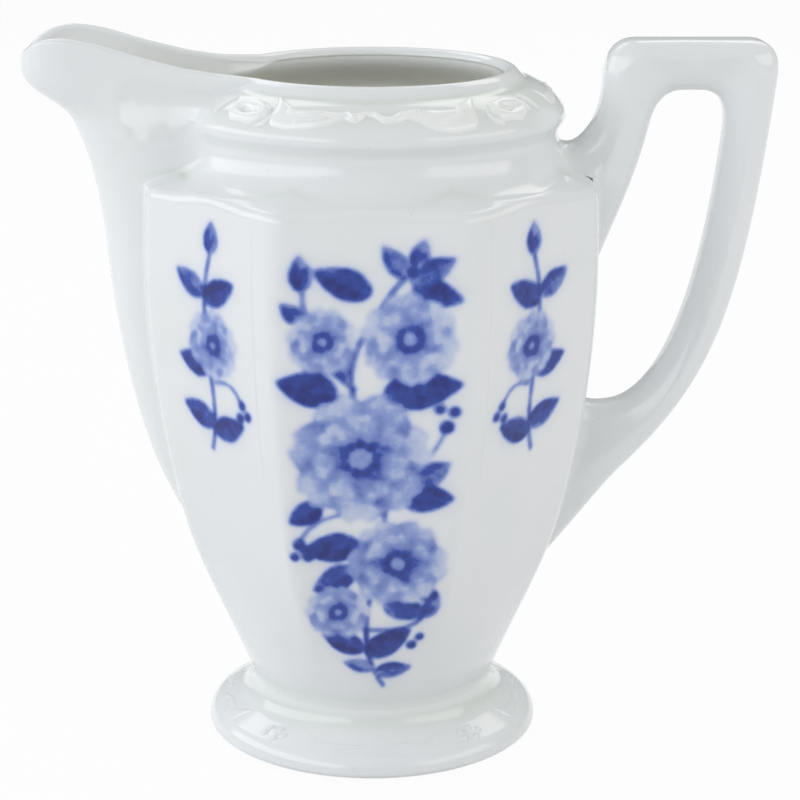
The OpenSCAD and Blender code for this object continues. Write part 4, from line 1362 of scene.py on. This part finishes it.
ink_paint, ink_tree, ink_shader, ink_glaze = glazed_material("printed_glaze", GLAZE_WHITE)
ink_share = add_node(ink_tree, "ShaderNodeAttribute", attribute_name="ink").outputs["Fac"]
ink_place = add_node(ink_tree, "ShaderNodeTexCoord").outputs["Object"]
brush_share = ramp_value(ink_tree, noise(ink_tree, ink_place, BRUSH_SCALE, 4.0), 0.3, 0.7, 0.72, 1.12)
mottled = calculate(ink_tree, "MULTIPLY", ink_share, brush_share, use_clamp=True)
ink_colour = ink_glaze.outputs["Color"]
for low, high, colour in ((0.0, 0.3, INK_LIGHT), (0.22, 0.6, INK_MIDDLE), (0.55, 0.95, INK_DARK)):
    stage_share = ramp_value(ink_tree, mottled, low, high, 0.0, 1.0)
    ink_colour = mix_colours(ink_tree, stage_share, ink_colour, colour)
ink_tree.links.new(ink_colour, ink_shader.inputs["Base Color"])


def add_film(name, middle, half_width, low, high, design, side):
    """A printed film on one panel, from one height to another."""
    columns = np.linspace(-half_width, half_width, 1 + int(2 * half_width * HALF_FLATS / FILM_STEP))
    rows = np.linspace(low, high, 1 + int((high - low) / FILM_STEP))[:, None]
    turns = np.broadcast_to(middle + columns, (len(rows), len(columns)))
    points, normals = skin(outer_wall, turns, (rows - NECK_Z) / (SHOULDER_LOW - NECK_Z))
    sheet = Sheet(points @ [math.sin(middle), -math.cos(middle), 0.0], points[..., 2])
    paint(sheet, design, side)
    ink = sheet.bled(FILM_STEP, FILM_STEP)
    over, under = points + FILM_OVER * normals, points - FILM_UNDER * normals
    mesh = walled_mesh(name, (over, normals), (under, normals), False)
    set_values(mesh, "ink", np.concatenate([ink, ink]))
    add_piece(name, mesh, ink_paint, ["body"])


SPRAY_FILM = (math.radians(24.5), 15.5, 105.5, SPRAY)
SPRIG_FILM = (math.radians(16), 60.0, 106.0, SPRIG)
for name, middle in (("print_front", math.pi / 2), ("print_back", -math.pi / 2)):
    add_film(name, middle, *SPRAY_FILM, 1)
    add_film(name + "_sprig_a", middle - EIGHTH, *SPRIG_FILM, 1)
    add_film(name + "_sprig_b", middle + EIGHTH, *SPRIG_FILM, -1)

# Studio: a pale floor that runs off to white, a soft sky and four soft boxes, and the camera.
FLOOR_REACH = 3.0
FLOOR_GREY = (0.75, 0.75, 0.75, 1)
FLOOR_WHITE = 0.95
floor_mesh = bpy.data.meshes.new("floor")
floor_corners = [(FLOOR_REACH * x, FLOOR_REACH * y, 0) for x, y in ((-1, -1), (1, -1), (1, 1), (-1, 1))]
floor_mesh.from_pydata(floor_corners, [], [(0, 1, 2, 3)])
floor = bpy.data.objects.new("floor", floor_mesh)
bpy.context.scene.collection.objects.link(floor)
floor_paint = bpy.data.materials.new("floor_white")
floor_paint.use_nodes = True
tree = floor_paint.node_tree
matt = tree.nodes["Principled BSDF"]
for name, value in (("Base Color", FLOOR_GREY), ("Roughness", 0.9), ("Specular IOR Level", 0.0)):
    matt.inputs[name].default_value = value
rays = add_node(tree, "ShaderNodeLightPath").outputs
seen = rays["Is Camera Ray"]
for ray in ("Is Glossy Ray", "Is Transmission Ray"):
    seen = calculate(tree, "MAXIMUM", seen, rays[ray])
glow = add_node(tree, "ShaderNodeEmission").outputs["Emission"]
floor_mix = add_node(tree, "ShaderNodeMixShader", {"Fac": calculate(tree, "MULTIPLY", seen, FLOOR_WHITE),
                                                   1: matt.outputs["BSDF"], 2: glow})
tree.links.new(floor_mix.outputs["Shader"], tree.nodes["Material Output"].inputs["Surface"])
floor_mesh.materials.append(floor_paint)

SKY_LOW = 0.39
SKY_HIGH = 0.58
SKY_COLOUR = (0.985, 0.995, 0.99, 1)
world = bpy.data.worlds.new("studio")
bpy.context.scene.world = world
world.use_nodes = True
tree = world.node_tree
sky = tree.nodes["Background"]
sky.inputs["Color"].default_value = SKY_COLOUR
sky_way = add_node(tree, "ShaderNodeTexCoord").outputs["Generated"]
sky_up = add_node(tree, "ShaderNodeSeparateXYZ", {"Vector": sky_way}).outputs["Z"]
tree.links.new(ramp_value(tree, sky_up, 0.1, 0.8, SKY_LOW, SKY_HIGH), sky.inputs["Strength"])
white = add_node(tree, "ShaderNodeBackground", {"Color": (1, 1, 1, 1)})
sky_mix = add_node(tree, "ShaderNodeMixShader", {
    "Fac": add_node(tree, "ShaderNodeLightPath").outputs["Is Camera Ray"],
    1: sky.outputs["Background"], 2: white.outputs["Background"],
})
tree.links.new(sky_mix.outputs["Shader"], tree.nodes["World Output"].inputs["Surface"])

FEATHER_WIDE = 0.1
FEATHER_HIGH = 0.18
COOL = (0.97, 0.985, 1.0)
WARM = (1.0, 0.98, 0.945)
LAMPS_AIM = np.array([0, 0, 0.10])


def soft_box(name, place, width, height, power, colour):
    """A soft box whose glow fades towards its edges, aimed at the jug."""
    lamp = bpy.data.lights.new(name, "AREA")
    lamp.shape = "RECTANGLE"
    lamp.size = width
    lamp.size_y = height
    lamp.energy = power
    lamp.color = colour
    lamp.use_nodes = True
    tree = lamp.node_tree
    on_face = add_node(tree, "ShaderNodeNewGeometry").outputs["Parametric"]
    across = add_node(tree, "ShaderNodeSeparateXYZ", {"Vector": on_face}).outputs
    glow = 1.0
    for axis, feather in (("X", FEATHER_WIDE), ("Y", FEATHER_HIGH)):
        for low, high in ((0.0, feather), (1.0, 1.0 - feather)):
            edge = ramp_value(tree, across[axis], low, high, 0.0, 1.0, interpolation_type="SMOOTHSTEP")
            glow = calculate(tree, "MULTIPLY", glow, edge)
    tree.links.new(glow, tree.nodes["Emission"].inputs["Strength"])
    box = bpy.data.objects.new(name, lamp)
    box.location = place
    away = np.array(place) - LAMPS_AIM
    away = away / np.linalg.norm(away)
    box.rotation_euler = (math.acos(away[2]), 0, math.atan2(away[1], away[0]) + math.pi / 2)
    bpy.context.scene.collection.objects.link(box)


soft_box("soft_box_left", (-0.74, -0.30, 0.38), 1.9, 0.52, 6.9, COOL)
soft_box("soft_box_right", (0.71, -0.38, 0.38), 1.05, 0.52, 3.2, WARM)
soft_box("soft_box_back_left", (-0.35, 0.62, 0.75), 0.6, 0.45, 1.5, COOL)
soft_box("soft_box_back_right", (0.35, 0.62, 0.75), 0.6, 0.45, 1.5, WARM)

camera_data = bpy.data.cameras.new("camera")
camera_data.lens = 109.9
camera_data.sensor_width = 36
camera_data.shift_x = 0.035
camera_data.shift_y = 0.03
camera = bpy.data.objects.new("camera", camera_data)
camera.location = (0, -0.446, 0.192)
camera.rotation_euler = (math.radians(73.5), 0, 0)
bpy.context.scene.collection.objects.link(camera)
bpy.context.scene.camera = camera
bpy.context.scene.view_settings.view_transform = "Standard"
